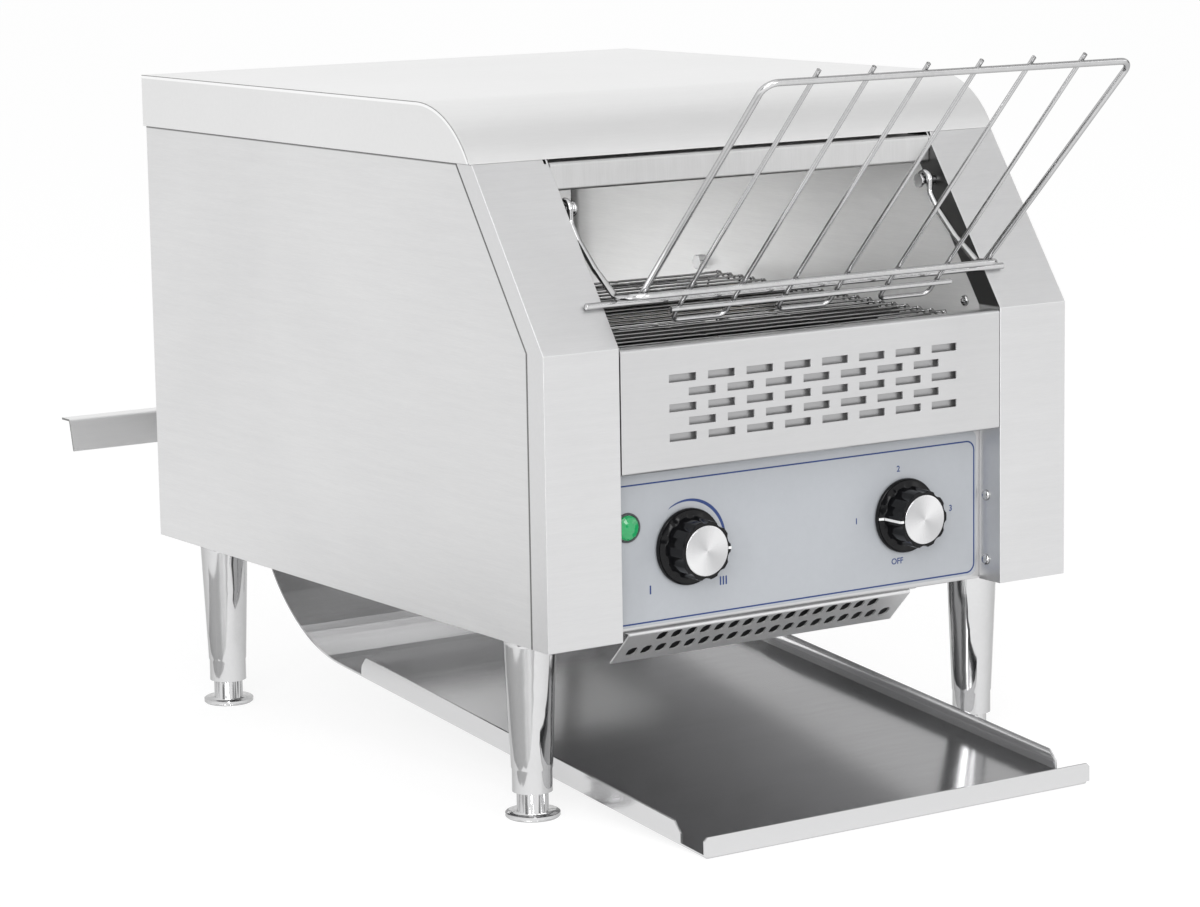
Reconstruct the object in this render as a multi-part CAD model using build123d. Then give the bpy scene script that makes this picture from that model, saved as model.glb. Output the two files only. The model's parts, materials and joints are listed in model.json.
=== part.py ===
"""Conveyor toaster: a counter-top machine with a wire belt, a wire loading rack at the front,
quartz heaters above and below the belt, and a tray that brings the toast back to the front.

Millimetres, +Z up, -Y towards the user, +X to the user's right. The model is drawn with y = 0 on the
front face and z = 0 on the counter, then moved so that the origin lies under the middle of the whole
machine, rack and rear guard included.
"""

import os
from math import atan2, cos, degrees, hypot, pi, radians, sin, sqrt, tan

from build123d import *

# ---------------------------------------------------------------- casing
CASING_WIDTH = 368.0          # over the two side covers
CASING_DEPTH = 457.0          # front face to rear panel
CASING_BOTTOM = 106.0         # counter to the casing's underside
CASING_TOP = 401.0            # counter to the flat top of the cover
SHEET = 1.2                   # casing sheet
SEAT_GAP = 0.3                # gap left where one folded sheet slips inside another
FIT_GAP = 0.1                 # radial gap of round pieces that are pressed or clamped together
PILLAR_WIDTH = 49.5           # front width of a pillar
PILLAR_RETURN = 16.0          # pillar's outer side, back to the seam with the side cover
BEND_HEIGHT = 269.8           # height at which the front begins to lean back
SLANT_DEPTH = 68.7            # how far the front leans back at the cover's edge
COVER_SKIRT = 32.2            # height of the cover's skirt
COVER_NOSE_RADIUS = 62.8      # outer radius of the cover's rolled front
SIDE_LIP = 8.0                # bottom lip of a side cover
LOUVRE_SIZE = (62.0, 5.0)
LOUVRE_PITCH = 14.0
LOUVRE_ROWS = 6
LOUVRE_OFFSET = 60.0
LOUVRE_BASE = 215.0           # height of the lowest louvre
LOUVRE_HOOD = 3.2
VENT_SLOT = (30.0, 5.0)       # slots of the base plate
VENT_GRID = (5, 4)
VENT_PITCH = (44.0, 38.0)
VENT_FRONT = 90.0
REAR_SCREW_INSET = 16.0
REAR_SCREW_RISES = (18.0, 134.0, 246.0)   # above the casing's underside

# ---------------------------------------------------------------- front
CONTROL_RECESS = 19.5         # front face back to the control panel
PANEL_BEND = 1.0              # inner radius of the control panel's folds
SLOT_PANEL_BOTTOM = 198.8
SLOT_PANEL_TOP = 268.8
SLOT_PANEL_GAP = 0.7          # to each pillar
SLOT_SIZE = (18.4, 4.4)
SLOT_PITCH = 26.4
SLOT_ROW_PITCH = 8.25
SLOT_TOP_ROW = 250.2
SLOT_COLUMNS = 8
SLOT_ROWS = 5
LINTEL_SETBACK = 66.0
LINTEL_BOTTOM = 351.0
LINTEL_TOP = 367.0
LABEL_THICKNESS = 0.4
LABEL_BOTTOM = 109.0
LABEL_TOP = 196.0
LABEL_INSET = 2.5             # label's sides from the pillars
KNOB_INSET = 57.0             # each knob's axis from its pillar
KNOB_HEIGHT = 151.0
LAMP_INSET = 16.5
LAMP_HEIGHT = 166.0
LAMP_RADIUS = 7.2

# ---------------------------------------------------------------- knobs and controls
SKIRT_RADIUS = 22.0
SKIRT_THICKNESS = 3.0
GRIP_RADIUS = 17.4
GRIP_LENGTH = 15.2
GRIP_LOBES = 10
CAP_RADIUS = 14.4
CAP_THICKNESS = 0.8
KNOB_CLEARANCE = 0.8          # skirt to label
SPINDLE_RADIUS = 3.0
RUNNING_CLEARANCE = 0.09      # radial, shafts in bores
BUSH_RADIUS = 5.0             # threaded neck of a switch
NUT_AT_PANEL = 8.0            # corner radius of its nut
SWITCH_DEPTH = 26.0
SWITCH_WIDTH = 32.0
REGULATOR_RADIUS = 15.0
REGULATOR_DEPTH = 17.0

# ---------------------------------------------------------------- vent guard below the control panel
GUARD_LEFT_INSET = 18.5       # strip's ends from the pillars
GUARD_RIGHT_INSET = 50.5
GUARD_TAB = 6.0
GUARD_SLOPE_DEPTH = 21.5
GUARD_DROP = 21.1
GUARD_SHEET = 1.0
GUARD_FLANGE = 14.0
GUARD_HOLE = (6.6, 8.4)       # across, along the slope
GUARD_PITCH = 10.0
GUARD_ROWS = ((25.0, 8.0), (10.0, 20.5))   # first and last centre from the ends, distance down the slope

# ---------------------------------------------------------------- legs
LEG_INSET = 24.5              # each leg's axis from the side cover's face
LEG_FRONT = 57.0
LEG_REAR = 417.0
LEG_TOP_RADIUS = 15.2
LEG_FOOT_RADIUS = 12.0
LEG_COLLAR_RADIUS = 11.6
LEG_TAPER_END = 29.0
LEG_BOTTOM = 15.0
STEM_RADIUS = 9.1
STEM_TOP = 46.0
FOOT_RADIUS = 15.7
FOOT_THICKNESS = 3.4
LEG_STUD_RADIUS = 4.0
LEG_STUD_LENGTH = 9.0
NUT_RADIUS = 7.2
NUT_THICKNESS = 6.0

# ---------------------------------------------------------------- toast tray
TRAY_SHEET = 1.2
TRAY_REACH = 78.0             # lip in front of the casing
TRAY_LIP_OVERHANG = 2.3
TRAY_LIP = 12.4
TRAY_SIDE = 12.5
TRAY_SIDE_FRONT = -52.0
TRAY_SIDE_REAR = 290.0
TRAY_SLOPE = 5.5              # degrees
TRAY_SCOOP_RADIUS = 120.0
TRAY_SCOOP_ANGLE = 62.0
TRAY_SCOOP_END = 420.0
TRAY_HOOK = 11.0
TRAY_HOOK_OVERHANG = 4.1      # past the turned-up edges that carry it
TRAY_CORNER = 6.0
TRAY_TRAVEL = 100.0

# ---------------------------------------------------------------- conveyor
BELT_WIRE = 2.0
LINK_PITCH = 12.0
SPROCKET_TEETH = 8
STRAIGHT_LINKS = 19
CONVEYOR_SLOPE = 1.0          # degrees, rising to the rear
CONVEYOR_FRONT = 38.0         # front shaft behind the front face
BELT_TOP_AT_FRONT = 265.6
BELT_SIDE_GAP = 8.5           # belt to the pillars' line
HOOK_INSET = 3.4
END_STEP = (11.5, 1.8)        # where a wire steps back, from its end, and by how much
KINK_SHARE = 0.34             # kinks of a wire, as a share of the belt's half width
KINK_SIZE = (2.6, 2.0)        # half width, depth
HOOK_CLEARANCE = 0.35
SPROCKET_THICKNESS = 5.0
SPROCKET_INSET = 28.0         # outer sprockets from the belt's edges
TOOTH_DEPTH = 1.2
TOOTH_LAND = 0.3              # share of a tooth's pitch
TOOTH_ROOT = 0.5
HUB_RADIUS = 8.5
HUB_LENGTH = 12.0
SHAFT_RADIUS = 5.0
SUPPORT_RADIUS = 4.5
SUPPORT_NECK = 2.1            # radius where the bar passes under the belt's hooks
SUPPORT_STATIONS = (60.0, 168.0)

# ---------------------------------------------------------------- drive
CHAIN_PITCH = 8.0
CHAIN_TEETH = 12
CHAIN_STRAIGHT = 14
CHAIN_ANGLE = 60.0            # degrees below the horizontal, drive shaft to motor
CHAIN_GAP = 15.1              # right inner wall to the middle of the chain
CHAIN_ROLLER = 2.2
CHAIN_INNER_WIDTH = 3.6
CHAIN_PLATE = 1.0
CHAIN_PLATE_HEIGHT = 6.0
CHAIN_SPROCKET_THICKNESS = 2.8
BUSHING_WALL = 3.0
BUSHING_FLANGE = 11.0
MOTOR_SHAFT_RADIUS = 4.0
GEARBOX_SIZE = 60.0
GEARBOX_DEPTH = 24.0
MOTOR_RADIUS = 24.0
MOTOR_LENGTH = 46.0
BRACKET_SIZE = 78.0
BRACKET_PLATE = 2.0

# ---------------------------------------------------------------- heaters and inner sheets
REFLECTOR_DROP = 24.0         # cover's top to the reflector
UPPER_HEATER_DROP = 15.0      # reflector to the upper heaters' axes
UPPER_HEATER_STATIONS = (112.0, 182.0, 252.0)
LOWER_HEATER_STATIONS = (38.0, 114.0, 190.0)
HEATER_RADIUS = 4.6
HEATER_HOLE_CLEARANCE = 1.4
HEATER_OVERHANG = 6.0
CERAMIC_RADIUS = 7.4
CERAMIC_LENGTH = 13.0
TERMINAL_PIN = 2.0
INNER_WALL_FRONT = 6.0
INNER_BACK = 443.0
INNER_BACK_INSET = 7.0
SHIELD_GAP = 7.7              # belt's lower hooks to the shield
SHIELD_REAR = 286.0
TERMINALS = 5
TERMINAL_PITCH = 10.0
TERMINAL_SIZE = (7.0, 14.0, 7.0)
TERMINAL_BASE = 8.0
TERMINAL_INSET = 49.5         # block's middle from the left pillar
CHUTE_FRONT = 300.0
CHUTE_EDGE_RISE = 9.6

# ---------------------------------------------------------------- loading rack
FRAME_WIRE = 3.8
ROD_WIRE = 2.6
LOWER_WIRE = 3.2
RAIL_SETBACK = -8.0           # main rail, behind the front face
RAIL_HEIGHT = 298.4
RAIL_CORNER = 8.0
REST_OVERHANG = 12.9          # support rod past the pillars' inner edges, on whose faces it lies
REST_HEIGHT = 292.6
RACK_ANGLE = 45.0             # degrees
RACK_LENGTH = 167.0
RACK_INSET = 9.7
RACK_CORNER = 8.0
ROD_SHARE = 0.2905            # pitch of the rods as a share of the rack's half width
ROD_TIP = 4.0
LOOP_DROP = 27.6
LOOP_RADIUS = 4.5
LOWER_RAIL_DROP = 14.2
LOWER_RAIL_INSET = 36.0
STUD_SETBACK = 61.5
STUD_HEIGHT = 341.0
STUD_RADIUS = 2.5
STUD_HEAD_RADIUS = 4.2
STUD_HEAD = 1.6
HOOK_GAP = 0.3
HOOK_LEAD = 7.0               # straight stretch of the arm below its hook
ARM_INSET = 7.0
ARM_BENDS = ((48.7, 323.9), (32.5, 309.5))

# ---------------------------------------------------------------- rear
REAR_GUARD_REACH = 127.0      # rear panel to the guard bar
REAR_GUARD_BOTTOM = 143.5
REAR_GUARD_HEIGHT = 22.0
REAR_GUARD_FLANGE = 12.0
REAR_GUARD_SHEET = 1.5
REAR_GUARD_LEAN = 2.5         # how far the bar's ends lean inwards to the bottom
REAR_ARM_INSET = 89.0         # straps from the guard bar's ends
REAR_ARM_HEIGHT = 18.0
REAR_ARM_FOOT = 14.0
GLAND_INSET = 24.0            # cord gland from the left side
GLAND_HEIGHT = 170.0
GLAND_BORE = 4.5
GLAND_BODY = 8.0
GLAND_HEX = 11.5

# ---------------------------------------------------------------- screws
SCREW_HEAD_RADIUS = 3.4
SCREW_HEAD = 1.6
SCREW_RADIUS = 1.9
PILLAR_SCREW_SETBACK = 13.0
PILLAR_SCREW_HEIGHTS = (157.3, 118.7)
WALL_SCREW = (34.0, 271.0)
WING_SCREW = (300.0, 271.6)
WING_RADIUS = 4.8
WING_LENGTH = 6.0

# ---------------------------------------------------------------- positions that follow from the sizes
HALF = CASING_WIDTH / 2
OPENING = HALF - PILLAR_WIDTH                 # half the clear opening between the pillars
WALL_INNER = OPENING + SHEET                  # inner face of an inner wall
WALL_OUTER = WALL_INNER + SHEET
COVER_EDGE = CASING_TOP - COVER_SKIRT
PLATE_UNDER = CASING_BOTTOM + SHEET           # underside of the base plate, on the side covers' lips
PLATE_TOP = PLATE_UNDER + SHEET
COVER_GROWTH = SEAT_GAP + SHEET               # the cover stands this far outside the casing
REFLECTOR_HEIGHT = CASING_TOP - REFLECTOR_DROP
UPPER_HEATER_HEIGHT = REFLECTOR_HEIGHT - UPPER_HEATER_DROP
LABEL_HALF_WIDTH = OPENING - LABEL_INSET
KNOB_OFFSET = OPENING - KNOB_INSET
LAMP_OFFSET = OPENING - LAMP_INSET
GUARD_LEFT = GUARD_LEFT_INSET - OPENING
GUARD_RIGHT = OPENING - GUARD_RIGHT_INSET
LEG_OFFSET = HALF - LEG_INSET
TRAY_HALF_WIDTH = OPENING - SEAT_GAP
TRAY_LIP_HALF_WIDTH = TRAY_HALF_WIDTH + TRAY_LIP_OVERHANG
TRAY_HOOK_HALF_WIDTH = WALL_OUTER + TRAY_HOOK_OVERHANG
BELT_HALF_WIDTH = OPENING - BELT_SIDE_GAP
SPROCKET_OFFSET = BELT_HALF_WIDTH - SPROCKET_INSET
CHAIN_PLANE = WALL_OUTER + CHAIN_GAP
INNER_BACK_HALF_WIDTH = OPENING - INNER_BACK_INSET
REST_HALF_WIDTH = OPENING + REST_OVERHANG
RACK_HALF_WIDTH = OPENING - RACK_INSET
ROD_STATIONS = [RACK_HALF_WIDTH * ROD_SHARE * (i + 0.5) for i in range(3)]
LOWER_RAIL_HALF_WIDTH = OPENING - LOWER_RAIL_INSET
ARM_HALF_WIDTH = OPENING - ARM_INSET
REAR_ARM_OFFSET = HALF - REAR_ARM_INSET
GLAND_OFFSET = GLAND_INSET - HALF
GEARBOX_INNER = WALL_INNER - BRACKET_PLATE - GEARBOX_DEPTH
BUSHING_RADIUS = SHAFT_RADIUS + BUSHING_WALL
SLANT = atan2(COVER_EDGE - BEND_HEIGHT, SLANT_DEPTH)

BELT_RADIUS = LINK_PITCH / (2 * sin(pi / SPROCKET_TEETH))
BELT_INNER = BELT_RADIUS - BELT_WIRE / 2      # inner side of the wires where they wrap a sprocket
CONVEYOR_LENGTH = STRAIGHT_LINKS * LINK_PITCH
FRONT_AXIS = (CONVEYOR_FRONT, BELT_TOP_AT_FRONT - BELT_WIRE / 2 - BELT_RADIUS)
TILT = radians(CONVEYOR_SLOPE)
HOOK_REACH = BELT_WIRE + HOOK_CLEARANCE       # wire's axis to the axis of the hook that goes round it
SHIELD_HEIGHT = FRONT_AXIS[1] - BELT_RADIUS - HOOK_REACH - BELT_WIRE / 2 - SHIELD_GAP - SHEET


def slant_at(z, setback=0.0):
    """y of the leaning front at height z, moved back by setback."""
    return setback + max(0.0, z - BEND_HEIGHT) / tan(SLANT)


def on_conveyor(u, v):
    """(y, z) of a point u behind the front shaft along the conveyor and v above its middle line."""
    y, z = FRONT_AXIS
    return y + u * cos(TILT) - v * sin(TILT), z + u * sin(TILT) + v * cos(TILT)


DRIVE_AXIS = on_conveyor(CONVEYOR_LENGTH, 0)
CHAIN_RADIUS = CHAIN_PITCH / (2 * sin(pi / CHAIN_TEETH))
CHAIN_REACH = CHAIN_STRAIGHT * CHAIN_PITCH
MOTOR_AXIS = (
    DRIVE_AXIS[0] - CHAIN_REACH * cos(radians(CHAIN_ANGLE)),
    DRIVE_AXIS[1] - CHAIN_REACH * sin(radians(CHAIN_ANGLE)),
)
LEAN = radians(RACK_ANGLE)


def on_rack(along, above):
    """(y, z) of a point along the rack's slope from its main rail, and above the rack's plane."""
    return (
        RAIL_SETBACK - along * cos(LEAN) + above * sin(LEAN),
        RAIL_HEIGHT + along * sin(LEAN) + above * cos(LEAN),
    )


STACK = FRAME_WIRE + FIT_GAP                  # pitch of two frame wires that lie on each other
REST_AXIS = (slant_at(REST_HEIGHT) - (FRAME_WIRE / 2 + SEAT_GAP) / sin(SLANT), REST_HEIGHT)
TOP_RAIL = on_rack(RACK_LENGTH, STACK)
FRONT_LIMIT = TOP_RAIL[0] - FRAME_WIRE / 2
REAR_LIMIT = CASING_DEPTH + REAR_GUARD_REACH + REAR_GUARD_FLANGE
FRONT_Y = -(FRONT_LIMIT + REAR_LIMIT) / 2     # y of the front face in the finished part


# ---------------------------------------------------------------- helpers
def block(x0, x1, y0, y1, z0, z1):
    """A plate or block between two corners."""
    return Pos((x0 + x1) / 2, (y0 + y1) / 2, (z0 + z1) / 2) * Box(x1 - x0, y1 - y0, z1 - z0)


def prism(points, x0, x1):
    """A (y, z) outline carried from x0 to x1."""
    return Pos(x0, 0, 0) * extrude(Plane.YZ * make_face(Polyline(*points, close=True)), amount=x1 - x0)


def rod(radius, x0, x1, y, z):
    """A round bar along X."""
    return Pos((x0 + x1) / 2, y, z) * Rot(0, 90, 0) * Cylinder(radius, x1 - x0)


def rod_y(radius, y0, y1, x, z):
    """A round bar along Y."""
    return Pos(x, (y0 + y1) / 2, z) * Rot(90, 0, 0) * Cylinder(radius, y1 - y0)


def mirrored(part):
    """The same piece on the other side of the machine."""
    return part.mirror(Plane.YZ)


def offset_points(points, amount):
    """An open (y, z) polyline moved sideways to its left by an amount, with mitred corners."""
    moved = []
    for i, (y, z) in enumerate(points):
        before = points[max(i - 1, 0)]
        after = points[min(i + 1, len(points) - 1)]
        a = (y - before[0], z - before[1]) if i else (after[0] - y, after[1] - z)
        b = (after[0] - y, after[1] - z) if i < len(points) - 1 else a
        ua, ub = ([c / hypot(*v) for c in v] for v in (a, b))
        na, nb = (-ua[1], ua[0]), (-ub[1], ub[0])
        scale = amount / (1 + na[0] * nb[0] + na[1] * nb[1])
        moved.append((y + (na[0] + nb[0]) * scale, z + (na[1] + nb[1]) * scale))
    return moved


def bent_line(points, radii):
    """A (y, z) polyline with its corners rounded."""
    if len(points) == 2:
        return Line(*points)
    return FilletPolyline(*points, radius=radii)


def folded(points, thickness, x0, x1, bend=1.0, radii=None):
    """Sheet folded along an open (y, z) line, lying to the left of it, from x0 to x1.

    bend is the inner radius of every fold, and radii gives each fold its own.
    """
    other = offset_points(points, thickness)
    inner, outer = [], []
    for i in range(1, len(points) - 1):
        (y0, z0), (y1, z1), (y2, z2) = points[i - 1:i + 2]
        left_turn = (y1 - y0) * (z2 - z1) - (z1 - z0) * (y2 - y1) > 0
        r = radii[i - 1] if radii else bend
        inner.append(r + thickness if left_turn else r)
        outer.append(r if left_turn else r + thickness)
    near = bent_line(points, inner)
    far = bent_line(other, outer)
    face = make_face([near, Line(points[-1], other[-1]), far, Line(other[0], points[0])])
    return Pos(x0, 0, 0) * extrude(Plane.YZ * face, amount=x1 - x0)


def wire(points, diameter, radius):
    """Round wire bent through (x, y, z) points."""
    path = FilletPolyline(*points, radius=radius) if len(points) > 2 else Line(*points)
    return sweep(Plane(origin=path @ 0, z_dir=path % 0) * Circle(diameter / 2), path=path)


def turned(profile, x, y, z_dir, z=0.0):
    """A profile of (radius, height) points turned about an axis through (x, y, z)."""
    face = Plane.XZ * make_face(Polyline(*profile, close=True))
    return Plane(origin=(x, y, z), z_dir=z_dir) * revolve(face, Axis.Z)


def pan_head(x, y, z, z_dir, grip=3.0):
    """A pan-head screw whose head stands on the surface at (x, y, z), pointing along z_dir."""
    head = [(0, -grip), (SCREW_RADIUS, -grip), (SCREW_RADIUS, 0), (SCREW_HEAD_RADIUS, 0),
            (SCREW_HEAD_RADIUS * 0.92, SCREW_HEAD * 0.55), (SCREW_HEAD_RADIUS * 0.6, SCREW_HEAD),
            (0, SCREW_HEAD)]
    return turned(head, x, y, z_dir, z)


def screw_hole(x, y, z, axis, depth=6.0):
    """The cut for a screw's shank."""
    radius = SCREW_RADIUS + RUNNING_CLEARANCE
    bar = Cylinder(radius, depth)
    return Pos(x, y, z) * {"x": Rot(0, 90, 0), "y": Rot(90, 0, 0), "z": Rot(0, 0, 0)}[axis] * bar


def group(pieces):
    """Separate solids that share a node."""
    return Compound(children=list(pieces))


def front_band(depth, top=None):
    """(y, z) outline of the pillar's face and what lies behind it to a depth."""
    top = COVER_EDGE if top is None else top
    return [(0, CASING_BOTTOM), (0, BEND_HEIGHT), (slant_at(top), top),
            (slant_at(top, depth), top), (depth, BEND_HEIGHT), (depth, CASING_BOTTOM)]


# ---------------------------------------------------------------- casing
def side_cover():
    """Left side cover: a flat sheet cut to the leaning front, with lips at the top and the bottom."""
    seam = PILLAR_RETURN + SEAT_GAP
    under_cover = CASING_TOP - SHEET
    nose = slant_at(COVER_EDGE, seam)
    nose_centre = slant_at(COVER_EDGE) + COVER_NOSE_RADIUS * 0.8
    outline = [(seam, CASING_BOTTOM), (seam, BEND_HEIGHT), (nose, COVER_EDGE),
               (nose + 9, COVER_EDGE + 14), (nose_centre, under_cover - 4), (nose_centre + 14, under_cover),
               (CASING_DEPTH, under_cover), (CASING_DEPTH, CASING_BOTTOM)]
    sheet = prism(outline, -HALF, -HALF + SHEET)
    rear = CASING_DEPTH - SHEET - SEAT_GAP
    bottom = block(-HALF, -HALF + SIDE_LIP, seam + 4, rear, CASING_BOTTOM, CASING_BOTTOM + SHEET)
    top = block(-HALF, -HALF + 12, nose_centre + 14, rear, under_cover - SHEET, under_cover)
    return sheet + bottom + top


def front_pillar():
    """Left pillar: a channel with the visible front, the side back to the seam and the inner return."""
    beyond = 3 * CONTROL_RECESS
    outer = prism(front_band(CONTROL_RECESS), -HALF, -OPENING)
    core = [(SHEET, CASING_BOTTOM + SHEET), (SHEET, BEND_HEIGHT + SHEET * 0.35),
            (slant_at(COVER_EDGE - SHEET, SHEET / sin(SLANT)), COVER_EDGE - SHEET),
            (slant_at(COVER_EDGE, beyond), COVER_EDGE - SHEET), (beyond, CASING_BOTTOM + SHEET)]
    channel = outer - prism(core, -HALF + SHEET, -OPENING - SHEET)
    behind_seam = [(PILLAR_RETURN, CASING_BOTTOM - 1), (PILLAR_RETURN, BEND_HEIGHT),
                   (slant_at(CASING_TOP, PILLAR_RETURN), CASING_TOP),
                   (slant_at(COVER_EDGE, beyond), CASING_TOP), (beyond, CASING_BOTTOM - 1)]
    channel -= prism(behind_seam, -HALF - 1, -HALF + 12)
    for z in PILLAR_SCREW_HEIGHTS:
        channel -= screw_hole(-OPENING - SHEET / 2, PILLAR_SCREW_SETBACK, z, "x")
    channel -= rod(STUD_RADIUS + FIT_GAP, -OPENING - 2 * SHEET, -OPENING + 1, STUD_SETBACK, STUD_HEIGHT)
    return channel - block(-WALL_OUTER - SEAT_GAP, -OPENING - SHEET, 0, 2 * SLANT_DEPTH,
                           COVER_EDGE - 2 * SHEET, CASING_TOP)


def top_cover():
    """Cover with a flat top, a rolled front edge and skirts on all sides."""
    def shell(inset, bottom):
        rear = CASING_DEPTH + COVER_GROWTH - inset
        radius = COVER_NOSE_RADIUS - inset
        top = CASING_TOP - inset
        centre_y = slant_at(COVER_EDGE) + sqrt(
            COVER_NOSE_RADIUS ** 2 - (COVER_NOSE_RADIUS - COVER_SKIRT) ** 2)
        centre_z = CASING_TOP - COVER_NOSE_RADIUS
        low = centre_y - sqrt(radius ** 2 - (bottom - centre_z) ** 2)
        half = atan2(bottom - centre_z, centre_y - low)
        mid_angle = (pi / 2 + pi - half) / 2
        nose = ThreePointArc(
            (low, bottom), (centre_y + radius * cos(mid_angle), centre_z + radius * sin(mid_angle)),
            (centre_y, top))
        edges = [nose, Line((centre_y, top), (rear, top)), Line((rear, top), (rear, bottom)),
                 Line((rear, bottom), (low, bottom))]
        face = Plane.YZ * make_face(edges)
        width = HALF + COVER_GROWTH - inset
        return Pos(-width, 0, 0) * extrude(face, amount=2 * width)
    return shell(0, COVER_EDGE) - shell(SHEET, COVER_EDGE - 0.01)


def lintel():
    """Strip across the opening under the cover's front edge, folded back along both edges."""
    width = OPENING - SEAT_GAP
    y = LINTEL_SETBACK
    line = [(y + 10, LINTEL_BOTTOM), (y, LINTEL_BOTTOM), (y, LINTEL_TOP), (y + 14, LINTEL_TOP)]
    return folded([(a, b) for a, b in reversed(line)], SHEET, -width, width, bend=0.8)


def rear_panel():
    """Rear panel with folded sides, pressed louvres and the hole of the cord gland."""
    half = HALF - SHEET - SEAT_GAP
    low, high = PLATE_UNDER + SEAT_GAP, CASING_TOP - 2 * SHEET - SEAT_GAP
    face = CASING_DEPTH - SHEET
    outer = block(-half, half, face - 9, CASING_DEPTH, low, high)
    panel = outer - block(-half + SHEET, half - SHEET, face - 20, face, low - 1, high + 1)
    panel -= block(-half - 1, half + 1, face - 20, face, low - 1, PLATE_TOP + SEAT_GAP)
    width, gap = LOUVRE_SIZE
    for side in (-1, 1):
        for row in range(LOUVRE_ROWS):
            x, z = side * LOUVRE_OFFSET, LOUVRE_BASE + row * LOUVRE_PITCH
            hood = [(CASING_DEPTH, z + gap + SHEET), (CASING_DEPTH + LOUVRE_HOOD, z),
                    (CASING_DEPTH + LOUVRE_HOOD - SHEET, z), (face, z + gap)]
            panel -= block(x - width / 2, x + width / 2, face - 1, CASING_DEPTH + 1, z, z + gap)
            panel += prism(hood, x - width / 2, x + width / 2)
    panel -= rod_y(GLAND_BODY + SEAT_GAP / 2, face - 5, CASING_DEPTH + 5, GLAND_OFFSET, GLAND_HEIGHT)
    for x, z in rear_screw_places():
        panel -= screw_hole(x, CASING_DEPTH - SHEET / 2, z, "y")
    for x in (-REAR_ARM_OFFSET, REAR_ARM_OFFSET):
        panel -= screw_hole(x + (REAR_ARM_FOOT + REAR_GUARD_SHEET) / 2, CASING_DEPTH - SHEET / 2,
                            REAR_GUARD_BOTTOM + REAR_GUARD_HEIGHT / 2, "y")
    return panel


def rear_screw_places():
    """Screws round the edge of the rear panel."""
    x = HALF - REAR_SCREW_INSET
    return [(s * x, CASING_BOTTOM + rise) for s in (-1, 1) for rise in REAR_SCREW_RISES]


def base_plate():
    """Base plate on the side covers' lips, with the turned-up edges of the toast chute and vent slots."""
    half = HALF - SHEET - SEAT_GAP
    front = CONTROL_RECESS + SHEET + PANEL_BEND + SEAT_GAP
    rear = CASING_DEPTH - SHEET - SEAT_GAP
    plate = block(-half, half, front, rear, PLATE_UNDER, PLATE_TOP)
    opening = WALL_INNER
    mouth = (CHUTE_FRONT, INNER_BACK - 1.0)
    plate -= block(-opening, opening, *mouth, PLATE_UNDER - 1, PLATE_TOP + 1)
    edge = block(-opening - SHEET, -opening, mouth[0], mouth[1], PLATE_UNDER, PLATE_TOP + CHUTE_EDGE_RISE)
    edge -= block(-opening - 5, -opening + 5, mouth[0] - 1, mouth[0] + 12, PLATE_TOP + 3, PLATE_TOP + 30)
    plate += edge + mirrored(edge)
    for x in (-LEG_OFFSET, LEG_OFFSET):
        for y in (LEG_FRONT, LEG_REAR):
            plate -= Pos(x, y, PLATE_UNDER) * Cylinder(LEG_STUD_RADIUS + SEAT_GAP, 10)
    width, depth = VENT_SLOT
    columns, rows = VENT_GRID
    for row in range(rows):
        for column in range(columns):
            x, y = (column - (columns - 1) / 2) * VENT_PITCH[0], VENT_FRONT + row * VENT_PITCH[1]
            plate -= block(x - width / 2, x + width / 2, y, y + depth, PLATE_UNDER - 1, PLATE_TOP + 1)
    return plate


def inner_wall(side):
    """Wall beside the belt, with holes for shafts, heaters, belt supports and, on the right, the motor."""
    top, low = CASING_TOP - 16, PLATE_TOP + SEAT_GAP
    rear = INNER_BACK + 12
    chute, over_chute = CHUTE_FRONT - 4, low + CHUTE_EDGE_RISE + 3
    outline = [(CONTROL_RECESS + 2 * SHEET, low), (CONTROL_RECESS + 2 * SHEET, SLOT_PANEL_BOTTOM),
               (INNER_WALL_FRONT, SLOT_PANEL_BOTTOM), (INNER_WALL_FRONT, BEND_HEIGHT),
               (slant_at(LINTEL_TOP, INNER_WALL_FRONT), LINTEL_TOP), (slant_at(LINTEL_TOP, 34), top),
               (rear, top), (rear, over_chute), (chute, over_chute), (chute, low)]
    wall = prism(outline, WALL_INNER, WALL_OUTER)
    wall += block(WALL_INNER, WALL_INNER + 10, slant_at(LINTEL_TOP, 34), rear, top - SHEET, top)
    cut = (WALL_INNER - 2, WALL_OUTER + 2)
    for y, z in (FRONT_AXIS, DRIVE_AXIS):
        wall -= rod(BUSHING_RADIUS + FIT_GAP, *cut, y, z)
    for y, z in heater_places():
        wall -= rod(HEATER_RADIUS + HEATER_HOLE_CLEARANCE, *cut, y, z)
    for y, z in support_places():
        wall -= rod(SUPPORT_NECK + FIT_GAP, *cut, y, z)
    wall -= screw_hole(WALL_INNER, *WALL_SCREW, "x", 8)
    wall -= screw_hole(WALL_INNER, *WING_SCREW, "x", 8)
    wall -= rod(STUD_RADIUS + 2, *cut, STUD_SETBACK, STUD_HEIGHT)
    for z in PILLAR_SCREW_HEIGHTS:
        wall -= screw_hole(WALL_INNER, PILLAR_SCREW_SETBACK, z, "x", 8)
    if side > 0:
        wall -= rod(MOTOR_SHAFT_RADIUS + 5, *cut, *MOTOR_AXIS)
        return wall
    return mirrored(wall)


def inner_back():
    """Sheet behind the chute, on two folded sides that stand on the rear panel."""
    half, back = INNER_BACK_HALF_WIDTH, CASING_DEPTH - SHEET - SEAT_GAP
    low, high = PLATE_TOP + SEAT_GAP, REFLECTOR_HEIGHT
    outer = block(-half, half, INNER_BACK, back, low, high)
    return outer - block(-half + SHEET, half - SHEET, INNER_BACK + SHEET, back + 5, low - 1, high + 1)


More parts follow.
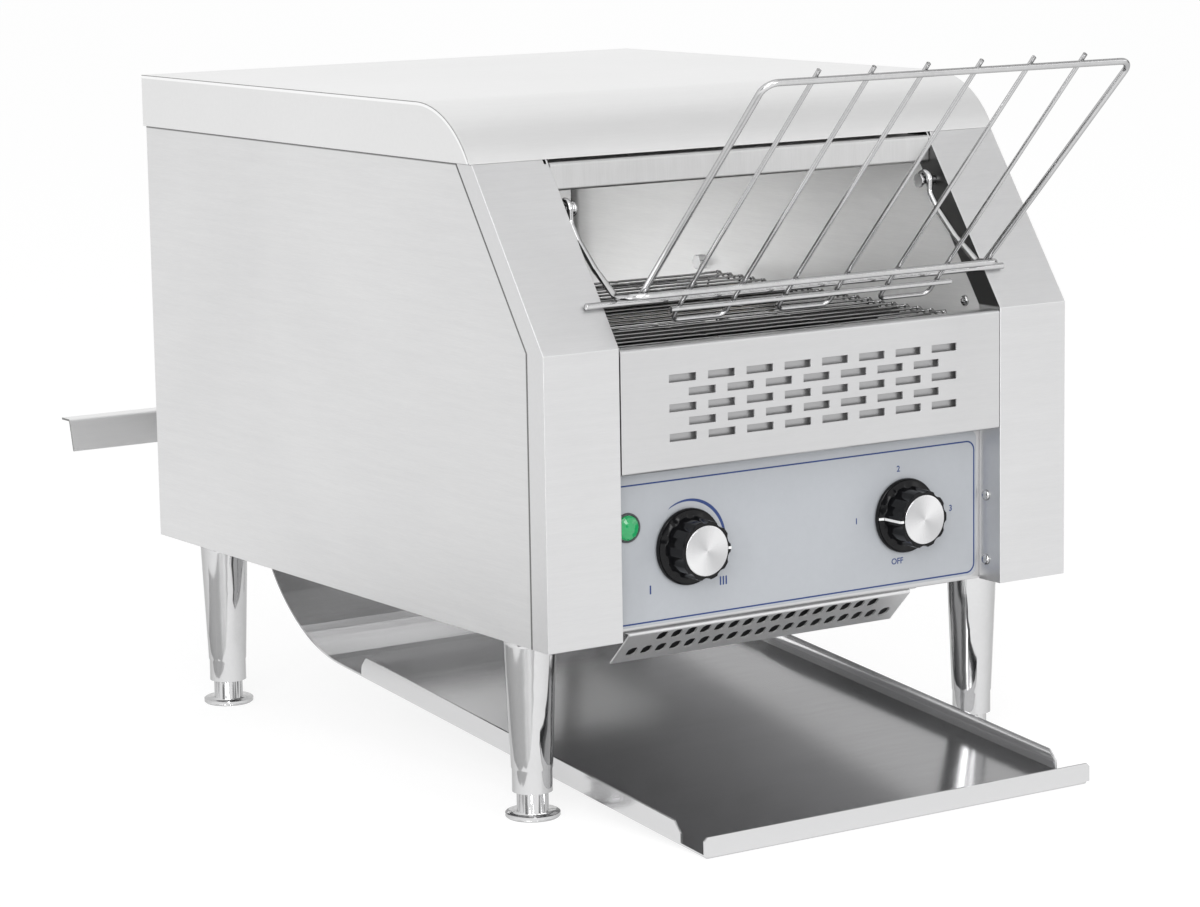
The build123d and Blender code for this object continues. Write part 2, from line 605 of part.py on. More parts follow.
def upper_reflector():
    """Reflector over the upper heaters, with its front and rear edges turned down."""
    half = WALL_INNER - SEAT_GAP
    front, rear = slant_at(COVER_EDGE, CONTROL_RECESS + 2), UPPER_HEATER_STATIONS[-1] + 62
    line = [(rear + 12, REFLECTOR_HEIGHT - 26), (rear, REFLECTOR_HEIGHT), (front + 10, REFLECTOR_HEIGHT),
            (front, REFLECTOR_HEIGHT - 12)]
    return folded(line, SHEET, -half, half, bend=2.0)


def heat_shield():
    """Sheet below the belt that closes the control compartment, down to the base at the chute."""
    half = WALL_INNER - SEAT_GAP
    line = [(CONTROL_RECESS + 6, SHIELD_HEIGHT + 7), (CONTROL_RECESS + 6, SHIELD_HEIGHT),
            (SHIELD_REAR, SHIELD_HEIGHT), (SHIELD_REAR, PLATE_TOP)]
    return folded(line, SHEET, -half, half, bend=1.5)


# ---------------------------------------------------------------- front
def slotted_panel():
    """Front panel below the opening, folded back on all edges and cut with staggered slots."""
    half = OPENING - SLOT_PANEL_GAP
    line = [(9, SLOT_PANEL_TOP), (0, SLOT_PANEL_TOP), (0, SLOT_PANEL_BOTTOM),
            (CONTROL_RECESS - LABEL_THICKNESS - SEAT_GAP, SLOT_PANEL_BOTTOM)]
    panel = folded(line, SHEET, -half, half, bend=0.8)
    for side in (-half, half - SHEET):
        panel += block(side, side + SHEET, SHEET / 2, 15, SLOT_PANEL_BOTTOM + 3, SLOT_PANEL_TOP - 3)
    width, height = SLOT_SIZE
    for row in range(SLOT_ROWS):
        count = SLOT_COLUMNS - row % 2
        z = SLOT_TOP_ROW - row * SLOT_ROW_PITCH
        for i in range(count):
            x = (i - (count - 1) / 2) * SLOT_PITCH
            panel -= block(x - width / 2, x + width / 2, -1, SHEET + 1, z - height / 2, z + height / 2)
    return panel


def control_panel():
    """Recessed panel that carries the knobs and the lamp, with a folded top, bottom and sides."""
    half = WALL_INNER - SEAT_GAP
    top = SLOT_PANEL_BOTTOM + 6
    line = [(CONTROL_RECESS + 14, top), (CONTROL_RECESS, top), (CONTROL_RECESS, CASING_BOTTOM),
            (CONTROL_RECESS + 10, CASING_BOTTOM)]
    panel = folded(line, SHEET, -half, half, bend=PANEL_BEND)
    for x in (-KNOB_OFFSET, KNOB_OFFSET):
        panel -= rod_y(BUSH_RADIUS + RUNNING_CLEARANCE, 0, 40, x, KNOB_HEIGHT)
    return panel - rod_y(LAMP_RADIUS - 1.5 + RUNNING_CLEARANCE, 0, 40, -LAMP_OFFSET, LAMP_HEIGHT)


def control_label():
    """Thin printed plate on the control panel."""
    front = CONTROL_RECESS - LABEL_THICKNESS
    plate = block(-LABEL_HALF_WIDTH, LABEL_HALF_WIDTH, front, CONTROL_RECESS, LABEL_BOTTOM, LABEL_TOP)
    plate = fillet(plate.edges().filter_by(Axis.Y), 5)
    for x in (-KNOB_OFFSET, KNOB_OFFSET):
        plate -= rod_y(NUT_AT_PANEL + 1.0, 0, 40, x, KNOB_HEIGHT)
    return plate - rod_y(LAMP_RADIUS - 1.5 + RUNNING_CLEARANCE, 0, 40, -LAMP_OFFSET, LAMP_HEIGHT)


def vent_guard():
    """Perforated strip that slopes down and back from the foot of the control panel."""
    slope = hypot(GUARD_SLOPE_DEPTH, GUARD_DROP)
    top = CASING_BOTTOM - SEAT_GAP
    foot = (CONTROL_RECESS + GUARD_SLOPE_DEPTH, top - GUARD_DROP)
    line = [foot, (CONTROL_RECESS, top), (CONTROL_RECESS + GUARD_FLANGE, top)]
    strip = folded(line[::-1], GUARD_SHEET, GUARD_LEFT, GUARD_RIGHT + GUARD_TAB, bend=0.5)
    corner = [(CONTROL_RECESS + GUARD_SLOPE_DEPTH * 0.12, top - GUARD_DROP * 0.12 + 3),
              (CONTROL_RECESS + GUARD_SLOPE_DEPTH * 0.12 - 6, top - GUARD_DROP * 0.12 - 6),
              (foot[0] - 6, foot[1] - 6), (foot[0] + 6, foot[1] + 6)]
    strip -= prism(corner, GUARD_RIGHT, GUARD_RIGHT + GUARD_TAB + 1)
    angle = degrees(atan2(GUARD_DROP, GUARD_SLOPE_DEPTH))
    across, along = GUARD_HOLE
    cutter = extrude(chamfer(Rectangle(across, along).vertices(), 1.8), amount=8, both=True)
    for margin, down in GUARD_ROWS:
        share = down / slope
        for i in range(round((GUARD_RIGHT - GUARD_LEFT - 2 * margin) / GUARD_PITCH) + 1):
            place = Pos(GUARD_LEFT + margin + i * GUARD_PITCH, CONTROL_RECESS + GUARD_SLOPE_DEPTH * share,
                        top - GUARD_DROP * share)
            strip -= place * Rot(-angle, 0, 0) * cutter
    return strip


# ---------------------------------------------------------------- knobs, controls and lamp
def knob(x):
    """Knob with a skirt and a lobed grip, bored for its spindle."""
    skirt_back = CONTROL_RECESS - LABEL_THICKNESS - KNOB_CLEARANCE
    grip_back = skirt_back - SKIRT_THICKNESS
    plane = Plane(origin=(x, skirt_back, KNOB_HEIGHT), x_dir=(1, 0, 0), z_dir=(0, -1, 0))
    skirt = extrude(Circle(SKIRT_RADIUS), amount=SKIRT_THICKNESS)
    skirt = chamfer(skirt.edges().group_by(Axis.Z)[-1], 1.2)
    grip = Circle(GRIP_RADIUS)
    scoop = GRIP_RADIUS * 2 * sin(pi / GRIP_LOBES) * 0.42
    away = GRIP_RADIUS + scoop * 0.72
    for i in range(GRIP_LOBES):
        a = 2 * pi * (i + 0.5) / GRIP_LOBES
        grip -= Pos(away * cos(a), away * sin(a)) * Circle(scoop)
    body = Pos(0, 0, SKIRT_THICKNESS) * extrude(grip, amount=GRIP_LENGTH, taper=2.0)
    bore = Cylinder(SPINDLE_RADIUS + RUNNING_CLEARANCE, 2 * (SKIRT_THICKNESS + GRIP_LENGTH - 3))
    recess = Cylinder(NUT_AT_PANEL + 1.5, 2 * 2.2)
    seat = Pos(0, 0, SKIRT_THICKNESS + GRIP_LENGTH) * Cylinder(CAP_RADIUS - 1, 1.0)
    return plane * (skirt + body - bore - recess - seat)


def knob_cap(x):
    """Spun aluminium disc let into the knob's face."""
    face = CONTROL_RECESS - LABEL_THICKNESS - KNOB_CLEARANCE - SKIRT_THICKNESS - GRIP_LENGTH
    inset = CAP_RADIUS - 1 - RUNNING_CLEARANCE
    profile = [(0, -0.45), (inset, -0.45), (inset, RUNNING_CLEARANCE), (CAP_RADIUS, RUNNING_CLEARANCE),
               (CAP_RADIUS, CAP_THICKNESS * 0.6), (CAP_RADIUS - 0.6, CAP_THICKNESS), (0, CAP_THICKNESS)]
    return turned(profile, x, face, (0, -1, 0), KNOB_HEIGHT)


def spindle(x, depth):
    """Spindle from the control's body to the knob."""
    tip = CONTROL_RECESS - LABEL_THICKNESS - KNOB_CLEARANCE - SKIRT_THICKNESS - GRIP_LENGTH + 3.4
    return rod_y(SPINDLE_RADIUS, tip, CONTROL_RECESS + SHEET + depth, x, KNOB_HEIGHT)


def switch_neck(x):
    """Threaded neck and nut that clamp a control to the panel."""
    neck = rod_y(BUSH_RADIUS, CONTROL_RECESS - 2.4, CONTROL_RECESS + SHEET, x, KNOB_HEIGHT)
    nut = Plane(origin=(x, CONTROL_RECESS, KNOB_HEIGHT), z_dir=(0, -1, 0)) * extrude(
        RegularPolygon(NUT_AT_PANEL, 6), amount=2.2)
    return neck + nut


def speed_regulator():
    """Round regulator behind the left knob."""
    back = CONTROL_RECESS + SHEET
    body = rod_y(REGULATOR_RADIUS, back, back + REGULATOR_DEPTH, -KNOB_OFFSET, KNOB_HEIGHT)
    lugs = block(-KNOB_OFFSET - 9, -KNOB_OFFSET + 9, back + 4, back + REGULATOR_DEPTH - 4,
                 KNOB_HEIGHT - REGULATOR_RADIUS - 6, KNOB_HEIGHT)
    deep = back + REGULATOR_DEPTH * 0.7
    bore = rod_y(SPINDLE_RADIUS + RUNNING_CLEARANCE, 0, deep, -KNOB_OFFSET, KNOB_HEIGHT)
    return body + lugs + switch_neck(-KNOB_OFFSET) - bore


def selector_switch():
    """Square cam switch behind the right knob, with a row of terminals on each side."""
    back, half = CONTROL_RECESS + SHEET, SWITCH_WIDTH / 2
    body = block(KNOB_OFFSET - half, KNOB_OFFSET + half, back, back + SWITCH_DEPTH,
                 KNOB_HEIGHT - half, KNOB_HEIGHT + half)
    for row in range(2):
        y = back + 6 + row * 10
        for side in (-1, 1):
            z = KNOB_HEIGHT + side * (half + 3.5)
            body += block(KNOB_OFFSET - 12, KNOB_OFFSET + 12, y, y + 6, z - 3.5, z + 3.5)
    bore = rod_y(SPINDLE_RADIUS + RUNNING_CLEARANCE, 0, back + SWITCH_DEPTH * 0.7, KNOB_OFFSET, KNOB_HEIGHT)
    return body + switch_neck(KNOB_OFFSET) - bore


def lamp_lens():
    """Domed lens of the indicator lamp."""
    front = CONTROL_RECESS - LABEL_THICKNESS
    profile = [(0, -3), (LAMP_RADIUS - 3, -3), (LAMP_RADIUS - 3, 0.0), (LAMP_RADIUS, 0.0), (LAMP_RADIUS, 1.6),
               (LAMP_RADIUS * 0.75, 2.8), (0, 3.4)]
    return turned(profile, -LAMP_OFFSET, front, (0, -1, 0), LAMP_HEIGHT)


def lamp_body():
    """Lamp holder behind the panel, with two terminals."""
    neck = LAMP_RADIUS - 1.5
    tube = rod_y(neck, CONTROL_RECESS, CONTROL_RECESS + 26, -LAMP_OFFSET, LAMP_HEIGHT)
    clip = rod_y(neck + 2.5, CONTROL_RECESS + SHEET, CONTROL_RECESS + 6, -LAMP_OFFSET, LAMP_HEIGHT)
    body = tube + clip
    body -= rod_y(LAMP_RADIUS - 3 + RUNNING_CLEARANCE, 0, CONTROL_RECESS + 8, -LAMP_OFFSET, LAMP_HEIGHT)
    for side in (-1, 1):
        x = -LAMP_OFFSET + side * 2.5
        body += block(x - 0.5, x + 0.5, CONTROL_RECESS + 25, CONTROL_RECESS + 33,
                      LAMP_HEIGHT - 2, LAMP_HEIGHT + 2)
    return body


def terminal_block():
    """Row of terminals on the base plate, near the cord gland."""
    width, depth, height = TERMINAL_SIZE
    base = PLATE_TOP + TERMINAL_BASE
    middle, y = TERMINAL_INSET - OPENING, SHIELD_REAR - depth
    half = TERMINALS * TERMINAL_PITCH / 2
    body = block(middle - half, middle + half, y - depth / 2 - 2, y + depth / 2 + 2, PLATE_TOP, base)
    for i in range(TERMINALS):
        x = middle + (i - (TERMINALS - 1) / 2) * TERMINAL_PITCH
        body += block(x - width / 2, x + width / 2, y - depth / 2, y + depth / 2, base, base + height)
    return body


# ---------------------------------------------------------------- legs
def leg(x, y):
    """Tapered leg with a stud for the base plate and a bore for the foot's stem."""
    bore = STEM_RADIUS + SEAT_GAP
    top = PLATE_UNDER
    profile = [(bore, LEG_BOTTOM), (LEG_COLLAR_RADIUS, LEG_BOTTOM), (LEG_COLLAR_RADIUS, LEG_TAPER_END - 1),
               (LEG_FOOT_RADIUS, LEG_TAPER_END), (LEG_TOP_RADIUS, top), (LEG_STUD_RADIUS, top),
               (LEG_STUD_RADIUS, top + LEG_STUD_LENGTH), (0, top + LEG_STUD_LENGTH), (0, STEM_TOP + 4),
               (bore, STEM_TOP + 4)]
    return turned(profile, x, y, (0, 0, 1))


def foot(x, y):
    """Foot disc on a stem that screws into the leg."""
    profile = [(0, 0), (FOOT_RADIUS - 0.8, 0), (FOOT_RADIUS, 0.8), (FOOT_RADIUS, FOOT_THICKNESS - 0.6),
               (FOOT_RADIUS - 0.8, FOOT_THICKNESS), (STEM_RADIUS, FOOT_THICKNESS), (STEM_RADIUS, STEM_TOP),
               (0, STEM_TOP)]
    return turned(profile, x, y, (0, 0, 1))


def leg_nuts():
    """Hexagon nuts that hold the legs, on the base plate."""
    ring = extrude(RegularPolygon(NUT_RADIUS, 6) - Circle(LEG_STUD_RADIUS + FIT_GAP), amount=NUT_THICKNESS)
    return group(Pos(x, y, PLATE_TOP) * ring
                 for x in (-LEG_OFFSET, LEG_OFFSET) for y in (LEG_FRONT, LEG_REAR))


# ---------------------------------------------------------------- toast tray
def toast_tray():
    """Tray with an upturned front lip and sides, a floor that rises to the rear, and a curved scoop."""
    half, slope = TRAY_HALF_WIDTH, tan(radians(TRAY_SLOPE))

    def floor_z(y):
        return (y + TRAY_REACH) * slope
    t = TRAY_SHEET
    top = PLATE_TOP + CHUTE_EDGE_RISE + SEAT_GAP
    steep = radians(TRAY_SCOOP_ANGLE)
    # the scoop's straight end meets the floor's line at this corner, which the scoop radius rounds
    corner_y = (floor_z(0) - top + tan(steep) * TRAY_SCOOP_END) / (tan(steep) - slope)
    line = [(-TRAY_REACH, TRAY_LIP), (-TRAY_REACH, 0), (corner_y, floor_z(corner_y)), (TRAY_SCOOP_END, top),
            (TRAY_SCOOP_END + TRAY_HOOK, top)]
    tray = folded(line, t, -half, half, radii=[0.6, TRAY_SCOOP_RADIUS - t, 1.5])
    lip = block(-TRAY_LIP_HALF_WIDTH, TRAY_LIP_HALF_WIDTH, -TRAY_REACH, -TRAY_REACH + t, t * 1.5, TRAY_LIP)
    tray += chamfer(lip.edges().filter_by(Axis.Y).group_by(Axis.Z)[-1], 2.0)
    tray += block(-TRAY_HOOK_HALF_WIDTH, TRAY_HOOK_HALF_WIDTH, TRAY_SCOOP_END + 1.5,
                  TRAY_SCOOP_END + TRAY_HOOK, top, top + t)
    front, rear = TRAY_SIDE_FRONT, TRAY_SIDE_REAR
    side = [(front, floor_z(front) + t * 0.5), (rear, floor_z(rear) + t * 0.5),
            (rear, floor_z(rear) + TRAY_SIDE - TRAY_CORNER), (rear - TRAY_CORNER, floor_z(rear) + TRAY_SIDE),
            (front + TRAY_CORNER, floor_z(front) + TRAY_SIDE),
            (front, floor_z(front) + TRAY_SIDE - TRAY_CORNER)]
    flange = prism(side, -half, -half + t)
    return tray + flange + mirrored(flange)


# ---------------------------------------------------------------- conveyor
def support_places():
    """(y, z) of the bars that carry the belt's upper run."""
    below = BELT_INNER - SEAT_GAP - SUPPORT_RADIUS
    return [on_conveyor(u, below) for u in SUPPORT_STATIONS]


def heater_places():
    """(y, z) of every heater tube, upper ones first."""
    return [(y, UPPER_HEATER_HEIGHT) for y in UPPER_HEATER_STATIONS] + [
        on_conveyor(u, -1.5) for u in LOWER_HEATER_STATIONS]


def link():
    """One belt wire: a long kinked bar, stepped back near its ends, with a hook round the next wire at each.

    The wire lies along X at the origin and the next wire is one pitch along Y.
    """
    end = BELT_HALF_WIDTH - BELT_WIRE / 2
    tip = end - HOOK_INSET
    inset, back = END_STEP
    next_wire = LINK_PITCH - back
    kink = BELT_HALF_WIDTH * KINK_SHARE
    half, depth = KINK_SIZE
    right = [(kink - half, 0, 0), (kink, depth, 0), (kink + half, 0, 0), (end - inset - back, 0, 0),
             (end - inset, -back, 0), (end, -back, 0), (tip, next_wire - HOOK_REACH, -HOOK_REACH),
             (tip, next_wire + HOOK_REACH, -HOOK_REACH), (tip, next_wire + HOOK_REACH, HOOK_REACH * 0.6)]
    path = Polyline(*[(-x, y, z) for x, y, z in reversed(right)], *right)
    section = Plane(origin=path @ 0, z_dir=path % 0) * RegularPolygon(BELT_WIRE / 2, 6)
    return sweep(section, path=path, transition=Transition.RIGHT)


def belt_stations():
    """(y, z) of every wire round the conveyor, one pitch from the next."""
    stations = []
    for i in range(STRAIGHT_LINKS):
        stations.append((CONVEYOR_LENGTH - i * LINK_PITCH, BELT_RADIUS))
    wrap = SPROCKET_TEETH // 2
    step = 2 * pi / SPROCKET_TEETH
    for i in range(wrap):
        a = pi / 2 + i * step
        stations.append((BELT_RADIUS * cos(a), BELT_RADIUS * sin(a)))
    for i in range(STRAIGHT_LINKS):
        stations.append((i * LINK_PITCH, -BELT_RADIUS))
    for i in range(wrap):
        a = -pi / 2 + i * step
        stations.append((CONVEYOR_LENGTH + BELT_RADIUS * cos(a), BELT_RADIUS * sin(a)))
    return [on_conveyor(u, v) for u, v in stations]


def conveyor_belt():
    """Endless belt of hooked wires round both sprocket rows."""
    stations, piece = belt_stations(), link()
    wires = []
    for i, (y, z) in enumerate(stations):
        ny, nz = stations[(i + 1) % len(stations)]
        wires.append(Plane(origin=(0, y, z), x_dir=(-1, 0, 0), z_dir=(0, nz - z, y - ny)) * piece)
    return group(wires)


def toothed_wheel(tip, teeth, thickness, bore):
    """Sprocket blank along Z, whose tooth spaces lie where the wires or rollers do.

    Its tips stay under the wires or rollers, because the belt and the chain stand still while it turns.
    """
    step = 2 * pi / teeth
    points = []
    for i in range(teeth):
        for share, r in ((-TOOTH_ROOT / 2, tip - TOOTH_DEPTH), (TOOTH_ROOT / 2, tip - TOOTH_DEPTH),
                         (0.5 - TOOTH_LAND / 2, tip), (0.5 + TOOTH_LAND / 2, tip)):
            a = (i + share) * step
            points.append((r * cos(a), r * sin(a)))
    wheel = extrude(make_face(Polyline(*points, close=True)), amount=thickness / 2, both=True)
    return wheel - Cylinder(bore, thickness * 2)


def belt_sprockets(axis):
    """Three sprockets with hubs on one belt shaft."""
    wheel = toothed_wheel(BELT_INNER - SEAT_GAP, SPROCKET_TEETH, SPROCKET_THICKNESS, SHAFT_RADIUS + FIT_GAP)
    wheel += Cylinder(HUB_RADIUS, HUB_LENGTH) - Cylinder(SHAFT_RADIUS + FIT_GAP, HUB_LENGTH * 2)
    y, z = axis
    place = Plane(origin=(0, y, z), x_dir=(0, cos(TILT), sin(TILT)), z_dir=(1, 0, 0))
    return group(Pos(x, 0, 0) * (place * wheel) for x in (-SPROCKET_OFFSET, 0, SPROCKET_OFFSET))


def bushings():
    """Flanged bearing bushes of both shafts, in the inner walls."""
    bore, inner, outer = SHAFT_RADIUS + RUNNING_CLEARANCE, -1.5, SHEET + 2
    ring = [(bore, inner), (BUSHING_RADIUS, inner), (BUSHING_RADIUS, SHEET), (BUSHING_FLANGE, SHEET),
            (BUSHING_FLANGE, outer), (bore, outer)]
    return group(turned(ring, side * WALL_INNER, y, (side, 0, 0), z)
                 for side in (-1, 1) for y, z in (FRONT_AXIS, DRIVE_AXIS))


def belt_supports():
    """Bars under the belt's upper run."""
    end = WALL_OUTER + 3
    shoulder = BELT_HALF_WIDTH - HOOK_INSET - 2 * BELT_WIRE
    return group(rod(SUPPORT_RADIUS, -shoulder, shoulder, y, z) + rod(SUPPORT_NECK, -end, end, y, z)
                 for y, z in support_places())


def idler_shaft():
    """Front shaft."""
    end = WALL_OUTER + 7
    return rod(SHAFT_RADIUS, -end, end, *FRONT_AXIS)


def drive_shaft():
    """Rear shaft, long enough on the right for the chain sprocket."""
    return rod(SHAFT_RADIUS, -WALL_OUTER - 7, CHAIN_PLANE + 9, *DRIVE_AXIS)


# ---------------------------------------------------------------- drive
def chain_frame():
    """Plane of the chain: origin at the drive shaft, local x towards the motor, normal along +X."""
    a = radians(CHAIN_ANGLE)
    return Plane(origin=(CHAIN_PLANE, *DRIVE_AXIS), x_dir=(0, -cos(a), -sin(a)), z_dir=(1, 0, 0))


def chain_sprocket(at_motor, bore):
    """Chain sprocket with a hub."""
    wheel = toothed_wheel(CHAIN_RADIUS - CHAIN_ROLLER - SEAT_GAP, CHAIN_TEETH, CHAIN_SPROCKET_THICKNESS,
                          bore + FIT_GAP)
    hub = Cylinder(bore + 3.5, 4) - Cylinder(bore + FIT_GAP, 8)
    wheel += Pos(0, 0, CHAIN_SPROCKET_THICKNESS / 2 + 2) * hub
    return chain_frame() * (Pos(CHAIN_REACH if at_motor else 0, 0, 0) * wheel)


def drive_chain():
    """Roller chain: two side plates all round, joined by a roller at each pitch."""
    def loop(r):
        return make_hull([*(Circle(r)).edges(), *(Pos(CHAIN_REACH, 0) * Circle(r)).edges()])
    band = loop(CHAIN_RADIUS + CHAIN_PLATE_HEIGHT / 2) - loop(CHAIN_RADIUS - CHAIN_PLATE_HEIGHT / 2)
    plate = extrude(band, amount=CHAIN_PLATE)
    chain = Pos(0, 0, CHAIN_INNER_WIDTH / 2) * plate + Pos(0, 0, -CHAIN_INNER_WIDTH / 2 - CHAIN_PLATE) * plate
    roller = extrude(RegularPolygon(CHAIN_ROLLER, 6), amount=(CHAIN_INNER_WIDTH + CHAIN_PLATE) / 2, both=True)
    places = []
    for i in range(CHAIN_STRAIGHT + 1):
        places += [(i * CHAIN_PITCH, CHAIN_RADIUS), (i * CHAIN_PITCH, -CHAIN_RADIUS)]
    step = 2 * pi / CHAIN_TEETH
    for i in range(1, CHAIN_TEETH // 2):
        a = pi / 2 + i * step
        places.append((CHAIN_RADIUS * cos(a), CHAIN_RADIUS * sin(a)))
        places.append((CHAIN_REACH - CHAIN_RADIUS * cos(a), CHAIN_RADIUS * sin(a)))
    for u, v in places:
        chain += Pos(u, v, 0) * roller
    return chain_frame() * chain


def gear_motor():
    """Gear motor beside the right inner wall: a square gearbox and a round motor."""
    y, z = MOTOR_AXIS
    half = GEARBOX_SIZE / 2
    box = block(GEARBOX_INNER, GEARBOX_INNER + GEARBOX_DEPTH, y - half, y + half, z - half, z + half)
    box = fillet(box.edges().filter_by(Axis.X), 6)
    can = rod(MOTOR_RADIUS, GEARBOX_INNER - MOTOR_LENGTH, GEARBOX_INNER, y - 4, z - 4)
    cap = rod(MOTOR_RADIUS - 9, GEARBOX_INNER - MOTOR_LENGTH - 5, GEARBOX_INNER - MOTOR_LENGTH, y - 4, z - 4)
    bore = rod(MOTOR_SHAFT_RADIUS + RUNNING_CLEARANCE, GEARBOX_INNER + 6, WALL_OUTER, y, z)
    return box + can + cap - bore


def motor_bracket():
    """Plate between the gearbox and the wall, with a foot on the base plate."""
    y, z = MOTOR_AXIS
    half = BRACKET_SIZE / 2
    x1 = WALL_INNER
    x0 = x1 - BRACKET_PLATE
    plate = block(x0, x1, y - half, y + half, PLATE_TOP, z + half)
    plate = chamfer(plate.edges().filter_by(Axis.X).group_by(Axis.Z)[-1], 10)
    foot_plate = block(x1 - 26, x1, y - half, y + half, PLATE_TOP, PLATE_TOP + BRACKET_PLATE)
    plate += foot_plate
    return plate - rod(MOTOR_SHAFT_RADIUS + 3, x0 - 1, x1 + 1, y, z)


def motor_shaft():
    """Output shaft of the gear motor."""
    return rod(MOTOR_SHAFT_RADIUS, GEARBOX_INNER + 7, CHAIN_PLANE + 8, *MOTOR_AXIS)


# ---------------------------------------------------------------- heaters
def heater_tubes():
    """Quartz tubes along X through both inner walls, above the belt and between its runs."""
    end = WALL_OUTER + HEATER_OVERHANG
    return group(rod(HEATER_RADIUS, -end, end, y, z) for y, z in heater_places())


def heater_ends():
    """Ceramic end pieces outside the inner walls, each with a terminal."""
    bore, seat = HEATER_RADIUS + FIT_GAP, HEATER_OVERHANG + 0.2
    ring = [(bore, 0), (CERAMIC_RADIUS, 0), (CERAMIC_RADIUS, CERAMIC_LENGTH - 4),
            (CERAMIC_RADIUS - 2.5, CERAMIC_LENGTH), (TERMINAL_PIN, CERAMIC_LENGTH),
            (TERMINAL_PIN, CERAMIC_LENGTH + 5), (0, CERAMIC_LENGTH + 5), (0, seat), (bore, seat)]
    return group(turned(ring, side * WALL_OUTER, y, (side, 0, 0), z)
                 for side in (-1, 1) for y, z in heater_places())


# ---------------------------------------------------------------- loading rack
def rack_point(x, along, above):
    y, z = on_rack(along, above)
    return (x, y, z)


def rack_arm_rail():
    """Main rail with its ends bent back into arms, and a hook on each arm round its stud."""
    ring = STUD_RADIUS + HOOK_GAP + FRAME_WIRE / 2
    hook = (STUD_SETBACK - ring, STUD_HEIGHT)
    dip = (REST_AXIS[0], REST_HEIGHT + STACK)
    bends = [hook, (hook[0], STUD_HEIGHT - HOOK_LEAD), *ARM_BENDS, dip, (RAIL_SETBACK, RAIL_HEIGHT)]
    points = [(-ARM_HALF_WIDTH, *p) for p in bends] + [(ARM_HALF_WIDTH, *p) for p in reversed(bends)]
    radii = [HOOK_LEAD * 0.8] * 4 + [RAIL_CORNER]

    def curl(side):
        """Arc of a hook, from the arm over the top of the stud and down behind it."""
        def at(angle):
            a = radians(angle)
            return (side * ARM_HALF_WIDTH, STUD_SETBACK + ring * cos(a), STUD_HEIGHT + ring * sin(a))
        return ThreePointArc(at(180), at(70), at(-40))
    left, right = curl(-1), curl(1)
    path = Wire([*left.edges(), *FilletPolyline(*points, radius=radii + radii[::-1]).edges(), *right.edges()])
    start = left @ 1
    return sweep(Plane(origin=start, z_dir=left % 1) * Circle(FRAME_WIRE / 2), path=path)


def rack_support_rod():
    """Rod under the arms whose ends lie on the pillars."""
    bar = rod(FRAME_WIRE / 2, -REST_HALF_WIDTH, REST_HALF_WIDTH, *REST_AXIS)
    return chamfer(bar.edges().filter_by(GeomType.CIRCLE), 0.5)


def rack_frame():
    """Upper frame wire: two sides and the top rail."""
    foot_end = rack_point(RACK_HALF_WIDTH - FRAME_WIRE, -3.0, STACK)
    top = rack_point(RACK_HALF_WIDTH, RACK_LENGTH, STACK)
    return wire([(-foot_end[0], *foot_end[1:]), (-top[0], *top[1:]), top, foot_end], FRAME_WIRE, RACK_CORNER)


def rack_rods():
    """Three bent rods: each runs from the top rail down, across below the main rail and up again."""
    near = (FRAME_WIRE + ROD_WIRE) / 2 + FIT_GAP
    lift = STACK / RACK_LENGTH
    top = RACK_LENGTH + ROD_TIP
    stations = [-x for x in reversed(ROD_STATIONS)] + list(ROD_STATIONS)
    rods = []
    for a, b in zip(stations[::2], stations[1::2]):
        pts = [rack_point(a, top, near + lift * top), rack_point(a, -LOOP_DROP, near - lift * LOOP_DROP),
               rack_point(b, -LOOP_DROP, near - lift * LOOP_DROP), rack_point(b, top, near + lift * top)]
        rods.append(wire(pts, ROD_WIRE, LOOP_RADIUS))
    return group(rods)


def rack_lower_rail():
    """Short cross wire that ties the rods below the main rail."""
    rods_at = (FRAME_WIRE + ROD_WIRE) / 2 + FIT_GAP - STACK / RACK_LENGTH * LOWER_RAIL_DROP
    y, z = on_rack(-LOWER_RAIL_DROP, rods_at - (ROD_WIRE + LOWER_WIRE) / 2 - FIT_GAP)
    return rod(LOWER_WIRE / 2, -LOWER_RAIL_HALF_WIDTH, LOWER_RAIL_HALF_WIDTH, y, z)


def rack_studs():
    """Headed studs on the pillars' inner returns, which the rack hooks over."""
    length = OPENING - ARM_HALF_WIDTH + FRAME_WIRE / 2 + STUD_HEAD
    profile = [(0, -2 * SHEET), (STUD_RADIUS, -2 * SHEET), (STUD_RADIUS, length),
               (STUD_HEAD_RADIUS, length), (STUD_HEAD_RADIUS, length + STUD_HEAD), (0, length + STUD_HEAD)]
    return group(turned(profile, side * OPENING, STUD_SETBACK, (-side, 0, 0), STUD_HEIGHT)
                 for side in (-1, 1))


